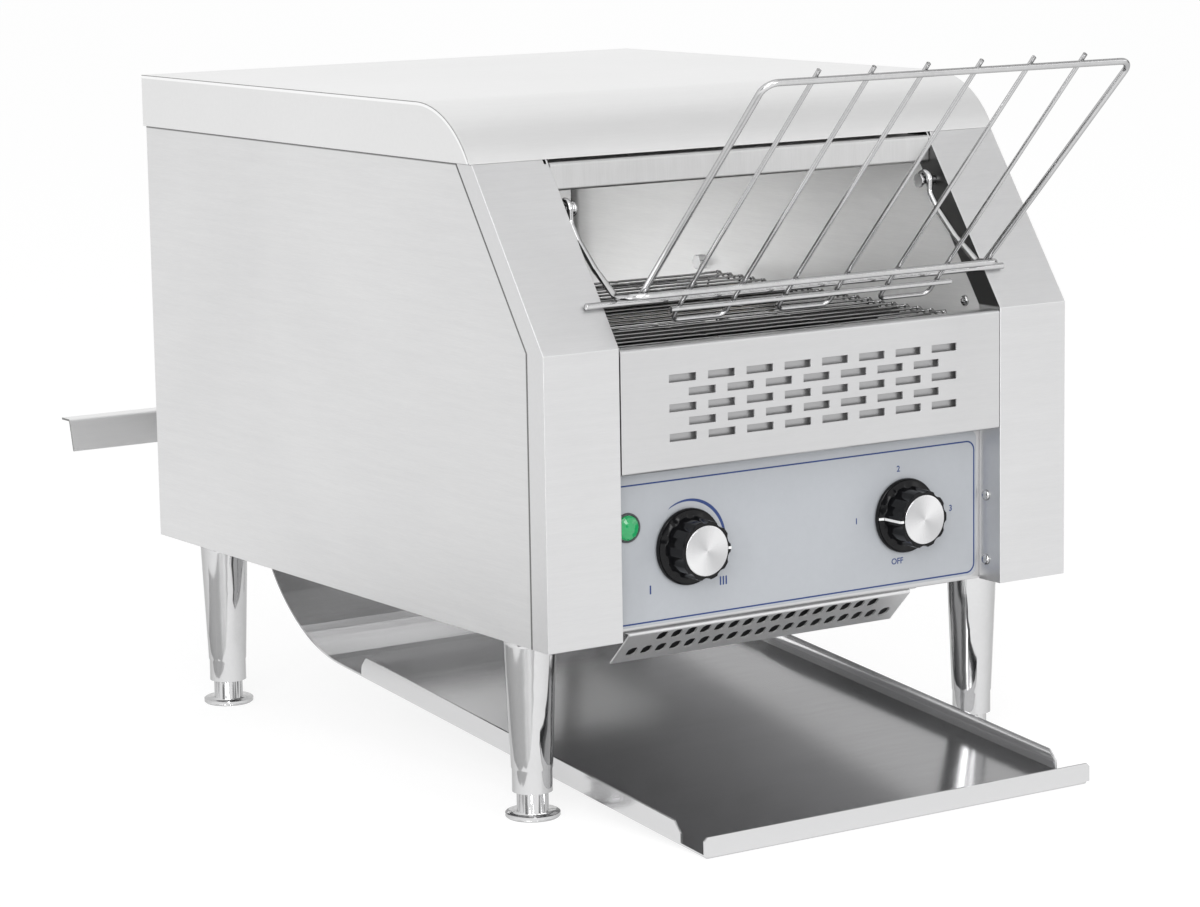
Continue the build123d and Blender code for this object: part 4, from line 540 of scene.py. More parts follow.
class Finishes:
    """The machine's finishes."""

    SIDE = SeamShadowSheet("side_steel", (0.65, 0.65, 0.655), (0.80, 0.80, 0.80), (0.34, 0.46), 1.0,
                       Grain.ALONG_Y, 2400.0, 4.0, 0.06)
    PILLAR = ReturnedPillar("pillar_steel", (0.63, 0.63, 0.635), (0.75, 0.75, 0.755), (0.32, 0.44), 1.0,
                            Grain.ALONG_X, 2400.0, 6.0, 0.06)
    COVER = FoldedCover("cover_steel", (0.76, 0.76, 0.76), (0.84, 0.84, 0.84), (0.38, 0.48), 1.0,
                        Grain.ALONG_X, 2400.0, 4.0, 0.04)
    FRONT = Finish("front_steel", (0.58, 0.58, 0.585), (0.68, 0.68, 0.685), (0.34, 0.44), 1.0,
                   Grain.ALONG_X, 2400.0, 6.0, 0.06)
    GUARD = Finish("guard_steel", (0.70, 0.70, 0.705), (0.82, 0.82, 0.825), (0.26, 0.38), 0.6,
                   Grain.ALONG_X, 1500.0, 12.0, 0.05)
    LINTEL = Finish("lintel_steel", (0.54, 0.54, 0.54), (0.70, 0.70, 0.70), (0.34, 0.46), 1.0,
                    Grain.ALONG_Z, 1300.0, 8.0, 0.06)
    INNER = Finish("inner_steel", (0.60, 0.60, 0.60), (0.76, 0.76, 0.755), (0.26, 0.38), 0.25,
                   Grain.ALONG_Y, 1800.0, 5.0, 0.05)
    # Partly heat tint, mostly painted shade: near black so the gaps between the belt's wires read dark.
    HEATED_AND_SHADED = Finish("heated_and_shaded_steel", (0.030, 0.030, 0.030), (0.090, 0.089, 0.088), (0.40, 0.56), 0.8,
                    Grain.ALONG_X, 900.0, 16.0, 0.05)
    BACKING = Finish("backing_steel", (0.40, 0.40, 0.405), (0.50, 0.50, 0.505), (0.30, 0.42), 0.8,
                     Grain.ALONG_X, 1500.0, 20.0, 0.05)
    UNDERSIDE = Finish("underside_steel", (0.46, 0.46, 0.47), (0.60, 0.60, 0.61), (0.40, 0.55), 0.4,
                       Grain.ALONG_Y, 1500.0, 12.0, 0.05)
    TRAY = LippedTray("tray_steel", (0.27, 0.27, 0.275), (0.38, 0.38, 0.385), (0.10, 0.20), 0.85,
                      Grain.ALONG_X, 1500.0, 5.0, 0.03, edge_tint=0.80)
    ZINC = Finish("zinc_plate", (0.52, 0.53, 0.55), (0.68, 0.69, 0.70), (0.34, 0.50), 1.0,
                  Grain.NONE, 240.0, 30.0, 0.08)
    # The dark outlines of chrome and wires are a painted reflection.
    CHROME = Finish("bright_chrome", (0.68, 0.68, 0.685), (0.76, 0.76, 0.765), (0.04, 0.08), 1.0,
                    Grain.NONE, 420.0, 26.0, 0.005, outline=0.75)
    BRIGHT_WIRE = Finish("bright_wire", (0.58, 0.58, 0.585), (0.80, 0.80, 0.805), (0.08, 0.16), 1.0,
                         Grain.NONE, 420.0, 26.0, 0.01, outline=0.95)
    WIRE = Finish("belt_wire", (0.30, 0.30, 0.30), (0.66, 0.66, 0.66), (0.12, 0.24), 1.0,
                  Grain.ALONG_X, 700.0, 34.0, 0.04, outline=1.0)
    GLOSS_BLACK = Finish("gloss_black", (0.004, 0.004, 0.005), (0.008, 0.008, 0.009), (0.06, 0.14), 0.0,
                         Grain.NONE, 700.0, 40.0, 0.02, specular=0.22)
    MATT_BLACK = Finish("matt_black", (0.05, 0.05, 0.055), (0.11, 0.11, 0.12), (0.50, 0.64), 0.0,
                        Grain.NONE, 1400.0, 30.0, 0.12)
    LABEL = Finish("label_print", (0.44, 0.46, 0.49), (0.50, 0.52, 0.55), (0.36, 0.46), 0.0,
                   Grain.NONE, 1800.0, 12.0, 0.02, coat=0.2)
    BLUE_INK = Finish("blue_ink", (0.010, 0.035, 0.16), (0.020, 0.055, 0.22), (0.30, 0.42), 0.0,
                      Grain.NONE, 900.0, 40.0, 0.02)
    WHITE_INK = Finish("white_ink", (0.86, 0.86, 0.86), (0.95, 0.95, 0.95), (0.35, 0.45), 0.0,
                       Grain.NONE, 900.0, 40.0, 0.02)
    LENS = Finish("green_lens", (0.01, 0.36, 0.12), (0.04, 0.62, 0.22), (0.04, 0.10), 0.0,
                  Grain.NONE, 500.0, 60.0, 0.02, coat=0.5, transmission=0.45, glow=0.12)
    QUARTZ = Finish("milky_quartz", (0.80, 0.78, 0.74), (0.94, 0.92, 0.88), (0.18, 0.34), 0.0,
                    Grain.ALONG_X, 260.0, 30.0, 0.03, transmission=0.55, ior=1.46)
    CERAMIC = Finish("glazed_ceramic", (0.78, 0.76, 0.70), (0.90, 0.88, 0.82), (0.30, 0.48), 0.0,
                     Grain.NONE, 900.0, 40.0, 0.06, coat=0.25)
    BRONZE = Finish("bearing_bronze", (0.48, 0.34, 0.17), (0.66, 0.50, 0.29), (0.26, 0.40), 1.0,
                    Grain.NONE, 800.0, 60.0, 0.04)
    MOTOR = Finish("motor_paint", (0.10, 0.105, 0.115), (0.16, 0.165, 0.18), (0.36, 0.50), 0.0,
                   Grain.NONE, 500.0, 20.0, 0.14)
    NYLON = Finish("black_nylon", (0.025, 0.025, 0.027), (0.050, 0.050, 0.055), (0.42, 0.58), 0.0,
                   Grain.NONE, 1100.0, 40.0, 0.08)
    GAUZE = Finish("dark_gauze", (0.012, 0.012, 0.013), (0.030, 0.030, 0.032), (0.55, 0.70), 0.0,
                   Grain.NONE, 2600.0, 40.0, 0.20)


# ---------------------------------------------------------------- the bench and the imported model
class Bench:
    """The modelling operators, used on one object at a time."""

    @staticmethod
    def only(piece: Piece) -> None:
        """Select one object and make it active.

        Args:
            piece: The object.
        """
        bpy.ops.object.select_all(action="DESELECT")
        piece.select_set(True)
        bpy.context.view_layer.objects.active = piece

    @staticmethod
    @contextmanager
    def editing(piece: Piece, picked: str = "") -> Iterator[None]:
        """Work in edit mode on a whole mesh, or on what is picked.

        Args:
            piece: The object.
            picked: VERT or FACE to work on the picked vertices or faces, or nothing for the whole mesh.
        """
        Bench.only(piece)
        bpy.ops.object.mode_set(mode="EDIT")
        if picked:
            bpy.ops.mesh.select_mode(type=picked)
        else:
            bpy.ops.mesh.select_all(action="SELECT")
        yield
        bpy.ops.object.mode_set(mode="OBJECT")

    @staticmethod
    def modify(piece: Piece, kind: str, **settings: Any) -> None:
        """Add a modifier and apply it.

        Args:
            piece: The object.
            kind: The modifier's type.
            **settings: Its settings.
        """
        Bench.only(piece)
        modifier = piece.modifiers.new(kind.lower(), kind)
        for key, value in settings.items():
            setattr(modifier, key, value)
        bpy.ops.object.modifier_apply(modifier=modifier.name)

    @staticmethod
    def fix(piece: Piece, name: str) -> Piece:
        """Name an object, make it a mesh and put its place into its mesh.

        Args:
            piece: The object.
            name: Its name.

        Returns:
            The object.
        """
        piece.name = name
        Bench.only(piece)
        if piece.type != "MESH":
            bpy.ops.object.convert(target="MESH")
            piece = bpy.context.view_layer.objects.active
        bpy.ops.object.transform_apply(location=True, rotation=True, scale=True)
        return piece

    @staticmethod
    def pick(piece: Piece, test: Callable[[Any], bool], element: str = "polygons") -> None:
        """Select only the faces or vertices that pass a test, in object mode.

        Args:
            piece: The object.
            test: A function of the face or vertex.
            element: The mesh's collection to choose from.
        """
        for kind in ("vertices", "edges", "polygons"):
            for item in getattr(piece.data, kind):
                item.select = kind == element and bool(test(item))

    @staticmethod
    def shift(piece: Piece, test: Callable[[bpy.types.MeshVertex], bool], by: Point) -> None:
        """Move the vertices that pass a test.

        Args:
            piece: The object.
            test: A function of the vertex.
            by: How far they move.
        """
        Bench.pick(piece, test, "vertices")
        with Bench.editing(piece, "VERT"):
            bpy.ops.transform.translate(value=by)

    @staticmethod
    def round_edges(piece: Piece, width: float, angle: float = 30.0, clamp: bool = True) -> None:
        """Round the edges that turn by more than some degrees.

        Args:
            piece: The object.
            width: Width of the rounding.
            angle: The degrees.
            clamp: Whether roundings stop where they would meet.
        """
        Bench.modify(piece, "BEVEL", width=width, segments=2, limit_method="ANGLE",
                     angle_limit=math.radians(angle), use_clamp_overlap=clamp)

    @staticmethod
    def bar(name: str, low: Sequence[float], high: Sequence[float], edge: float) -> Piece:
        """A block between two corners with rounded edges.

        Args:
            name: The piece's name.
            low: Its lowest corner.
            high: Its highest corner.
            edge: Width of the rounding.

        Returns:
            The piece.
        """
        a, b = Vector(low), Vector(high)
        bpy.ops.mesh.primitive_cube_add(size=1.0, location=(a + b) / 2, scale=b - a)
        piece = Bench.fix(bpy.context.active_object, name)
        Bench.round_edges(piece, edge)
        return piece


class Machine:
    """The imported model: its nodes, the bodies they ride on and the slots of their materials."""

    MERGE_DISTANCE = 2e-6
    FLAT_ANGLE = math.radians(0.3)

    def __init__(self) -> None:
        """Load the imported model."""
        self.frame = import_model()
        record = self.frame["record"]
        self.slots: dict[str, str] = {part["node"]: part["material_slot"] for part in record["subparts"]}
        self.bodies: dict[str, str] = {
            node: body for body, nodes in record["behaviour"]["bodies"].items() for node in nodes}

    def centre(self, node: str) -> Vector:
        """The middle of a node's box."""
        low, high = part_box(node)
        return (low + high) / 2

    def paint(self, piece: Piece, finish: Finish) -> None:
        """Make a finish the only material of a piece.

        Args:
            piece: The piece.
            finish: The finish.
        """
        piece.data.materials.clear()
        piece.data.materials.append(finish.material())
        LOG.info("%s: %s", piece.name, finish.name)

    def settle(self, piece: Piece, finish: Finish, body: str, slot: str) -> None:
        """Give a finished piece its material and the body that it rides on.

        Args:
            piece: The piece, in place.
            finish: Its finish.
            body: The body that it moves with.
            slot: The record's material slot; not used.
        """
        self.paint(piece, finish)
        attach(piece, body)

    def polish(self, node: str, finish: Finish, edge: float = 0.0, angle: float = 32.0,
               shape: Callable[[Piece], None] | None = None) -> None:
        """Put a smooth copy of a node in its place, with its sharp edges rounded.

        Args:
            node: The node's name.
            finish: The copy's finish.
            edge: Width of the rounding, in metres, or 0 for none.
            angle: Edges sharper than this many degrees stay sharp in shading and are rounded.
            shape: What changes the merged copy before its edges are rounded, if anything does.
        """
        piece = bpy.data.objects.new(node + "_finished", self.frame["nodes"][node].data.copy())
        bpy.context.scene.collection.objects.link(piece)
        with Bench.editing(piece):
            bpy.ops.mesh.remove_doubles(threshold=self.MERGE_DISTANCE)
        if shape:
            shape(piece)
        if edge:
            with Bench.editing(piece):
                bpy.ops.mesh.dissolve_limited(angle_limit=self.FLAT_ANGLE)
            Bench.round_edges(piece, edge, angle, clamp=False)
        bpy.ops.object.shade_smooth_by_angle(angle=math.radians(angle))
        Bench.modify(piece, "WEIGHTED_NORMAL", weight=100, keep_sharp=True)
        self.settle(piece, finish, self.bodies[node], self.slots[node])
        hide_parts(node)


@dataclass
class SheetSet:
    """Nodes that share a finish and a rounding."""

    nodes: Sequence[str]
    finish: Finish
    edge: float = 0.0
    angle: float = 32.0


@dataclass
class SubAssembly:
    """Pieces that are built and dressed together."""

    machine: Machine

    def sheets(self) -> Iterable[SheetSet]:
        """The nodes that only need a smooth copy."""
        return ()

    def build(self) -> None:
        """Dress the nodes and add the new pieces."""
        for sheet in self.sheets():
            for node in sheet.nodes:
                self.machine.polish(node, sheet.finish, sheet.edge, sheet.angle)
        self.add_pieces()

    def add_pieces(self) -> None:
        """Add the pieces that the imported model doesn't hold."""


# ---------------------------------------------------------------- casing
@dataclass
class Casing(SubAssembly):
    """Side covers, pillars, cover, panels and what closes the casing."""

    fold: float = 0.45 * MM
    cover_fold: float = 0.5 * MM
    backing_margin: float = 6.0 * MM
    backing_depth: float = 3.8 * MM
    backing_sheet: float = 0.8 * MM
    guard_run: float = 21.5 * MM
    guard_sheet: float = 1.4 * MM
    guard_side: float = 3.0 * MM
    guard_tab: float = 6.0 * MM
    gauze_share: float = 0.86
    gauze_sheet: float = 0.2 * MM

    def sheets(self) -> Iterable[SheetSet]:
        """The casing's sheets, by finish."""
        return (
            SheetSet(("side_cover_left", "side_cover_right"), Finishes.SIDE, self.fold),
            SheetSet(("front_pillar_left", "front_pillar_right"), Finishes.PILLAR, self.fold),
            SheetSet(("top_cover",), Finishes.COVER, self.cover_fold),
            SheetSet(("lintel",), Finishes.LINTEL, 0.2 * MM),
            SheetSet(("slotted_panel", "control_panel"), Finishes.FRONT, 0.15 * MM),
            SheetSet(("vent_guard",), Finishes.GUARD),
            SheetSet(("rear_panel",), Finishes.FRONT, 0.25 * MM),
            SheetSet(("rear_guard",), Finishes.COVER, 0.25 * MM),
            SheetSet(("base_plate",), Finishes.UNDERSIDE, 0.2 * MM),
            SheetSet(("inner_wall_left", "inner_wall_right", "inner_back", "upper_reflector"),
                     Finishes.INNER, 0.2 * MM),
            SheetSet(("heat_shield",), Finishes.HEATED_AND_SHADED, 0.2 * MM),
            SheetSet(("cord_gland",), Finishes.NYLON, 0.3 * MM),
        )

    def add_pieces(self) -> None:
        """Add the sheet behind the slots and the gauze behind the vent holes."""
        low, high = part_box("slotted_panel")
        margin, front = self.backing_margin, low.y + self.backing_depth
        backing = Bench.bar("slot_backing", (low.x + margin, front, low.z + margin),
                            (high.x - margin, front + self.backing_sheet, high.z - margin), 0.15 * MM)
        self.machine.settle(backing, Finishes.BACKING, "casing", "steel")
        self.gauze()

    def gauze(self) -> None:
        """Stretch dark gauze behind the sloping strip's holes."""
        low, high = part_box("vent_guard")
        rise, run = high.z - low.z, self.guard_run
        bpy.ops.mesh.primitive_plane_add(size=1.0)
        piece = bpy.context.active_object
        piece.matrix_world = (
            Matrix.Translation(((low.x + high.x - self.guard_tab) / 2, low.y + run / 2 + self.guard_sheet,
                                (low.z + high.z) / 2 + self.guard_sheet))
            @ Matrix.Rotation(-math.atan2(rise, run), 4, "X")
            @ Matrix.Diagonal((high.x - low.x - self.guard_tab - 2 * self.guard_side,
                               self.gauze_share * math.hypot(rise, run), 1.0, 1.0)))
        piece = Bench.fix(piece, "vent_gauze")
        Bench.modify(piece, "SOLIDIFY", thickness=self.gauze_sheet)
        self.machine.settle(piece, Finishes.GAUZE, "casing", "switch_plastic")


@dataclass
class Undercarriage(SubAssembly):
    """Legs and feet."""

    feet: Sequence[str] = ("foot_front_left", "foot_front_right", "foot_rear_left", "foot_rear_right")

    def sheets(self) -> Iterable[SheetSet]:
        """Turned chrome pieces and the nuts that hold them."""
        return (
            SheetSet(("legs", *self.feet), Finishes.CHROME),
            SheetSet(("leg_nuts",), Finishes.ZINC, 0.3 * MM),
        )


@dataclass
class ToastTray(SubAssembly):
    """The sliding tray."""

    def sheets(self) -> Iterable[SheetSet]:
        """The tray is one folded sheet."""
        return (SheetSet(("toast_tray",), Finishes.TRAY, angle=24.0),)


@dataclass
class Conveyor(SubAssembly):
    """Belt, its shafts and supports, the drive and the heaters."""

    thinning: float = 0.28 * MM

    def sheets(self) -> Iterable[SheetSet]:
        """Everything inside the cavity that turns, carries or heats."""
        return (
            SheetSet(("idler_shaft", "drive_shaft", "motor_shaft"), Finishes.ZINC, 0.3 * MM),
            SheetSet(("belt_supports",), Finishes.HEATED_AND_SHADED, 0.3 * MM),
            SheetSet(("idler_sprockets", "drive_sprockets", "shaft_chain_sprocket", "motor_chain_sprocket",
                      "drive_chain", "motor_bracket"), Finishes.ZINC, 0.2 * MM),
            SheetSet(("shaft_bushes",), Finishes.BRONZE, 0.2 * MM),
            SheetSet(("gear_motor",), Finishes.MOTOR, 0.6 * MM),
            SheetSet(("heater_tubes",), Finishes.QUARTZ),
            SheetSet(("heater_ends",), Finishes.CERAMIC, 0.3 * MM),
        )

    def add_pieces(self) -> None:
        """Put round, slim wires in the place of the faceted ones."""
        self.machine.polish("conveyor_belt", Finishes.WIRE, angle=75.0, shape=self.slim)

    def slim(self, piece: Piece) -> None:
        """Draw the belt's wires thinner.

        Args:
            piece: The merged copy of the belt.
        """
        with Bench.editing(piece):
            bpy.ops.mesh.normals_make_consistent(inside=False)
            bpy.ops.transform.shrink_fatten(value=-self.thinning)


@dataclass
class LoadingRack(SubAssembly):
    """The tilting wire rack and the studs that it hangs on."""

    def sheets(self) -> Iterable[SheetSet]:
        """Bright wires."""
        return (
            SheetSet(("rack_arm_rail", "rack_support_rod", "rack_frame", "rack_rods", "rack_lower_rail"),
                     Finishes.BRIGHT_WIRE),
            SheetSet(("rack_studs",), Finishes.CHROME),
        )


@dataclass
class Fasteners(SubAssembly):
    """Screws that show."""

    def sheets(self) -> Iterable[SheetSet]:
        """Pan-head screws and knurled wing screws."""
        return (
            SheetSet(("casing_screws",), Finishes.CHROME),
            SheetSet(("wing_screws",), Finishes.CHROME, 0.3 * MM),
        )


# ---------------------------------------------------------------- controls
@dataclass
class Knob(SubAssembly):
    """One control knob with its cap, spindle and white pointer line."""

    prefix: str = "speed"
    points_right: bool = True
    grip_radius: float = 17.4 * MM
    skirt_radius: float = 22.0 * MM
    skirt_thickness: float = 3.0 * MM
    slope: float = 1.1 * MM
    cap_radius: float = 14.9 * MM
    line: float = 1.5 * MM
    line_edge: float = 0.05 * MM
    proud: float = 0.12 * MM
    root_gap: float = 0.1 * MM
    rim_gap: float = 1.3 * MM
    inlay: float = 0.35 * MM
    crown: float = 1.2 * MM
    overlap: float = 0.2 * MM

    def sheets(self) -> Iterable[SheetSet]:
        """The spindle."""
        return (SheetSet((f"{self.prefix}_spindle",), Finishes.CHROME, 0.2 * MM),)

    @property
    def skirt_face(self) -> float:
        """Y of the skirt's front."""
        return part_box(f"{self.prefix}_knob")[1].y - self.skirt_thickness

    def dish(self, piece: Piece) -> None:
        """Slope the skirt's front back to its rim.

        Args:
            piece: The merged copy of the knob.
        """
        centre, face = self.machine.centre(f"{self.prefix}_knob"), self.skirt_face

        def on_rim(vertex: bpy.types.MeshVertex) -> bool:
            """Whether a vertex is on the front edge of the rim."""
            radius = math.hypot(vertex.co.x - centre.x, vertex.co.z - centre.z)
            return radius > self.skirt_radius - 2 * self.slope and abs(vertex.co.y - face) < 0.1 * MM

        Bench.shift(piece, on_rim, (0.0, self.slope, 0.0))

    def add_pieces(self) -> None:
        """Add the moulded knob, the spun cap and the pointer line."""
        cap, knob = f"{self.prefix}_knob_cap", f"{self.prefix}_knob"
        self.machine.polish(knob, Finishes.GLOSS_BLACK, 0.45 * MM, 28.0, self.dish)
        spun = SpunDisc(f"{self.prefix}_spun_aluminium", (0.50, 0.50, 0.51), (0.95, 0.95, 0.955),
                        (0.20, 0.34), 1.0, centre=tuple(self.machine.centre(cap)), relief=0.10)
        self.machine.polish(cap, spun, 0.15 * MM)
        self.pointer(knob)

    def pointer(self, knob: str) -> None:
        """Lay the white line on the skirt, the grip and the front.

        Args:
            knob: The knob's node, which is also its body.
        """
        centre, front, skirt = self.machine.centre(knob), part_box(knob)[0].y, self.skirt_face
        side = 1.0 if self.points_right else -1.0
        root, tip, crest, inner = (centre.x + side * radius for radius in (
            self.grip_radius + self.root_gap, self.skirt_radius - self.rim_gap,
            self.grip_radius - self.inlay, self.cap_radius))
        for name, ends, near, far in (
            ("skirt", (root, tip), skirt - self.proud, skirt + self.proud),
            ("grip", (crest - self.inlay, crest + self.inlay), front + self.crown, skirt),
            ("face", (inner, crest), front - self.proud / 2, front + self.crown + self.overlap),
        ):
            line = Bench.bar(f"{self.prefix}_{name}_line", (min(ends), near, centre.z - self.line / 2),
                             (max(ends), far, centre.z + self.line / 2), self.line_edge)
            if name == "skirt":
                Bench.shift(line, lambda vertex: abs(vertex.co.x - root) > abs(tip - root) / 2,
                            (0.0, self.slope, 0.0))
            self.machine.settle(line, Finishes.WHITE_INK, knob, "label")


@dataclass
class ControlFace(SubAssembly):
    """The printed plate, its border, the crescent over the speed knob, and plain marks."""

    inset: float = 1.4 * MM
    border_top: float = 190.0 * MM
    border_line: float = 0.9 * MM
    corner: float = 6.0 * MM
    proud: float = 0.06 * MM
    crescent_radius: float = 25.5 * MM
    crescent_shift: float = 1.368 * MM
    crescent_ends: tuple[float, float] = (-18.0, 118.0)
    stroke_size: tuple[float, float] = (1.0 * MM, 5.0 * MM)
    stroke_pitch: float = 2.0 * MM
    stroke_edge: float = 0.02 * MM
    stroke_sets: Sequence[tuple[str, float, float, int]] = (
        ("slow", -25.4 * MM, -22.0 * MM, 1), ("fast", 24.8 * MM, -22.7 * MM, 3))
    letter: float = 5.0 * MM
    boldness: float = 0.09 * MM
    marks: Sequence[tuple[str, float, float]] = (
        ("1", -35.0 * MM, 0.0), ("2", -4.0 * MM, 27.6 * MM), ("3", 35.0 * MM, 0.0),
        ("OFF", -5.0 * MM, -27.0 * MM))

    def sheets(self) -> Iterable[SheetSet]:
        """The plate itself."""
        return (SheetSet(("control_label",), Finishes.LABEL, 0.12 * MM),)

    def add_pieces(self) -> None:
        """Print the plate."""
        low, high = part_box("control_label")
        self.border(low, high)
        self.crescent(low.y)
        self.strokes(low.y)
        selector = self.machine.centre("selector_knob")
        for text, x, z in self.marks:
            self.word(text, (selector.x + x, low.y, selector.z + z))

    def ink(self, piece: Piece) -> None:
        """Ink a printed piece and fix it to the casing."""
        self.machine.settle(piece, Finishes.BLUE_INK, "casing", "label")

    def print_flat(self, piece: Piece) -> None:
        """Give a flat print its thickness, towards the front, and ink it.

        Args:
            piece: The print.
        """
        with Bench.editing(piece):
            bpy.ops.mesh.extrude_region_move(TRANSFORM_OT_translate={"value": (0.0, -self.proud, 0.0)})
            bpy.ops.mesh.select_all(action="SELECT")
            bpy.ops.mesh.normals_make_consistent(inside=False)
        self.ink(piece)

    def border(self, low: Vector, high: Vector) -> None:
        """Print the rounded line round the plate.

        Args:
            low: The plate's lowest corner.
            high: Its highest corner.
        """
        bottom = low.z + self.inset
        height = self.border_top - bottom
        bpy.ops.mesh.primitive_plane_add(size=1.0, location=(0.0, low.y, bottom + height / 2),
                                         rotation=UPRIGHT)
        piece = bpy.context.active_object
        piece.scale = (high.x - low.x - 2 * self.inset, height, 1.0)
        piece = Bench.fix(piece, "label_border")
        with Bench.editing(piece):
            bpy.ops.mesh.bevel(offset=self.corner, segments=8, affect="VERTICES")
            bpy.ops.mesh.select_all(action="SELECT")
            bpy.ops.mesh.inset(thickness=self.border_line)
            bpy.ops.mesh.delete(type="FACE")
        self.print_flat(piece)

    def crescent(self, y: float) -> None:
        """Print the crescent over the speed knob, thin at the left and thick at the right.

        Args:
            y: The plate's front face.
        """
        knob = self.machine.centre("speed_knob")
        bpy.ops.mesh.primitive_circle_add(vertices=96, radius=self.crescent_radius, fill_type="NOTHING",
                                          location=(knob.x, y, knob.z), rotation=UPRIGHT)
        piece = Bench.fix(bpy.context.active_object, "speed_crescent")
        with Bench.editing(piece):
            bpy.ops.mesh.extrude_edges_move(
                TRANSFORM_OT_translate={"value": (self.crescent_shift, 0.0, self.crescent_shift)})

        def hidden(face: bpy.types.MeshPolygon) -> bool:
            """Whether a face lies outside the printed arc."""
            turn = math.degrees(math.atan2(face.center.z - knob.z, face.center.x - knob.x))
            return not self.crescent_ends[0] <= turn <= self.crescent_ends[1]

        Bench.pick(piece, hidden)
        with Bench.editing(piece, "FACE"):
            bpy.ops.mesh.delete(type="FACE")
        self.print_flat(piece)

    def strokes(self, y: float) -> None:
        """Print one stroke at the slow end and three at the fast end.

        Args:
            y: The plate's front face.
        """
        knob = self.machine.centre("speed_knob")
        wide, tall = self.stroke_size
        for name, x, z, count in self.stroke_sets:
            for i in range(count):
                middle = knob.x + x + (i - (count - 1) / 2) * self.stroke_pitch
                base = knob.z + z
                self.ink(Bench.bar(
                    f"{name}_stroke_{i + 1}", (middle - wide / 2, y - self.proud, base - tall / 2),
                    (middle + wide / 2, y + self.proud, base + tall / 2), self.stroke_edge))

    def word(self, text: str, place: Point) -> None:
        """Print a plain mark.

        Args:
            text: What it says.
            place: Its middle, on the plate's front face.
        """
        bpy.ops.object.text_add(location=place, rotation=UPRIGHT)
        piece = bpy.context.active_object
        piece.data.body = text
        piece.data.size = self.letter
        piece.data.align_x = piece.data.align_y = "CENTER"
        piece.data.extrude = self.proud
        piece.data.offset = self.boldness
        piece.data.resolution_u = 4
        self.ink(Bench.fix(piece, "mark_" + text.lower()))


@dataclass
class Lamp(SubAssembly):
    """The indicator lamp: a faceted lens in a dark rim."""

    facets: int = 16
    lens_gap: float = 0.1 * MM
    lens_depth: float = 1.2 * MM
    lens_steps: Sequence[tuple[float, float]] = (
        (1.1 * MM, 1.0 * MM), (2.4 * MM, 0.8 * MM), (1.6 * MM, 0.3 * MM))
    lens_edge: float = 0.12 * MM
    rim_width: float = 1.3 * MM
    rim_height: float = 1.2 * MM

    def add_pieces(self) -> None:
        """Add the faceted lens and its rim."""
        low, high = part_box("lamp_lens")
        centre = (low + high) / 2
        centre.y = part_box("control_label")[0].y
        radius = (high.x - low.x) / 2
        self.lens(centre, radius - self.lens_gap)
        self.rim(centre, radius + self.rim_width / 2)

    def lens(self, seat: Vector, radius: float) -> None:
        """Add the lens, which rises in steps.

        Args:
            seat: Its middle, on the plate.
            radius: Its radius.
        """
        bpy.ops.mesh.primitive_cylinder_add(
            vertices=self.facets, radius=radius, depth=self.lens_depth,
            location=(seat.x, seat.y - self.lens_depth / 2, seat.z), rotation=UPRIGHT)
        lens = Bench.fix(bpy.context.active_object, "lamp_faceted_lens")
        for inset, rise in self.lens_steps:
            front = min(face.center.y for face in lens.data.polygons)
            Bench.pick(lens, lambda face: face.normal.y < -0.99 and face.center.y < front + 1e-6)
            with Bench.editing(lens, "FACE"):
                bpy.ops.mesh.inset(thickness=inset)
                bpy.ops.transform.translate(value=(0.0, -rise, 0.0))
        Bench.round_edges(lens, self.lens_edge, angle=8.0)
        self.machine.settle(lens, Finishes.LENS, "casing", "lens")
        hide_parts("lamp_lens")

    def rim(self, seat: Vector, radius: float) -> None:
        """Add the rim.

        Args:
            seat: Its middle, on the plate.
            radius: The radius of its crest.
        """
        bpy.ops.mesh.primitive_torus_add(
            major_segments=48, minor_segments=12, major_radius=radius, minor_radius=self.rim_width / 2,
            location=seat, rotation=UPRIGHT)
        rim = bpy.context.active_object
        rim.scale = (1.0, 1.0, 2 * self.rim_height / self.rim_width)
        rim = Bench.fix(rim, "lamp_rim")
        bpy.ops.object.shade_smooth()
        self.machine.settle(rim, Finishes.MATT_BLACK, "casing", "switch_plastic")


@dataclass
class ControlBox(SubAssembly):
    """Switches, terminals and the lamp's holder behind the panel."""

    hidden: Sequence[str] = ("speed_regulator", "selector_switch", "terminal_block", "lamp_body")

    def add_pieces(self) -> None:
        """Give the parts behind the panel their plastic."""
        for node in self.hidden:
            self.machine.paint(self.machine.frame["nodes"][node], Finishes.MATT_BLACK)


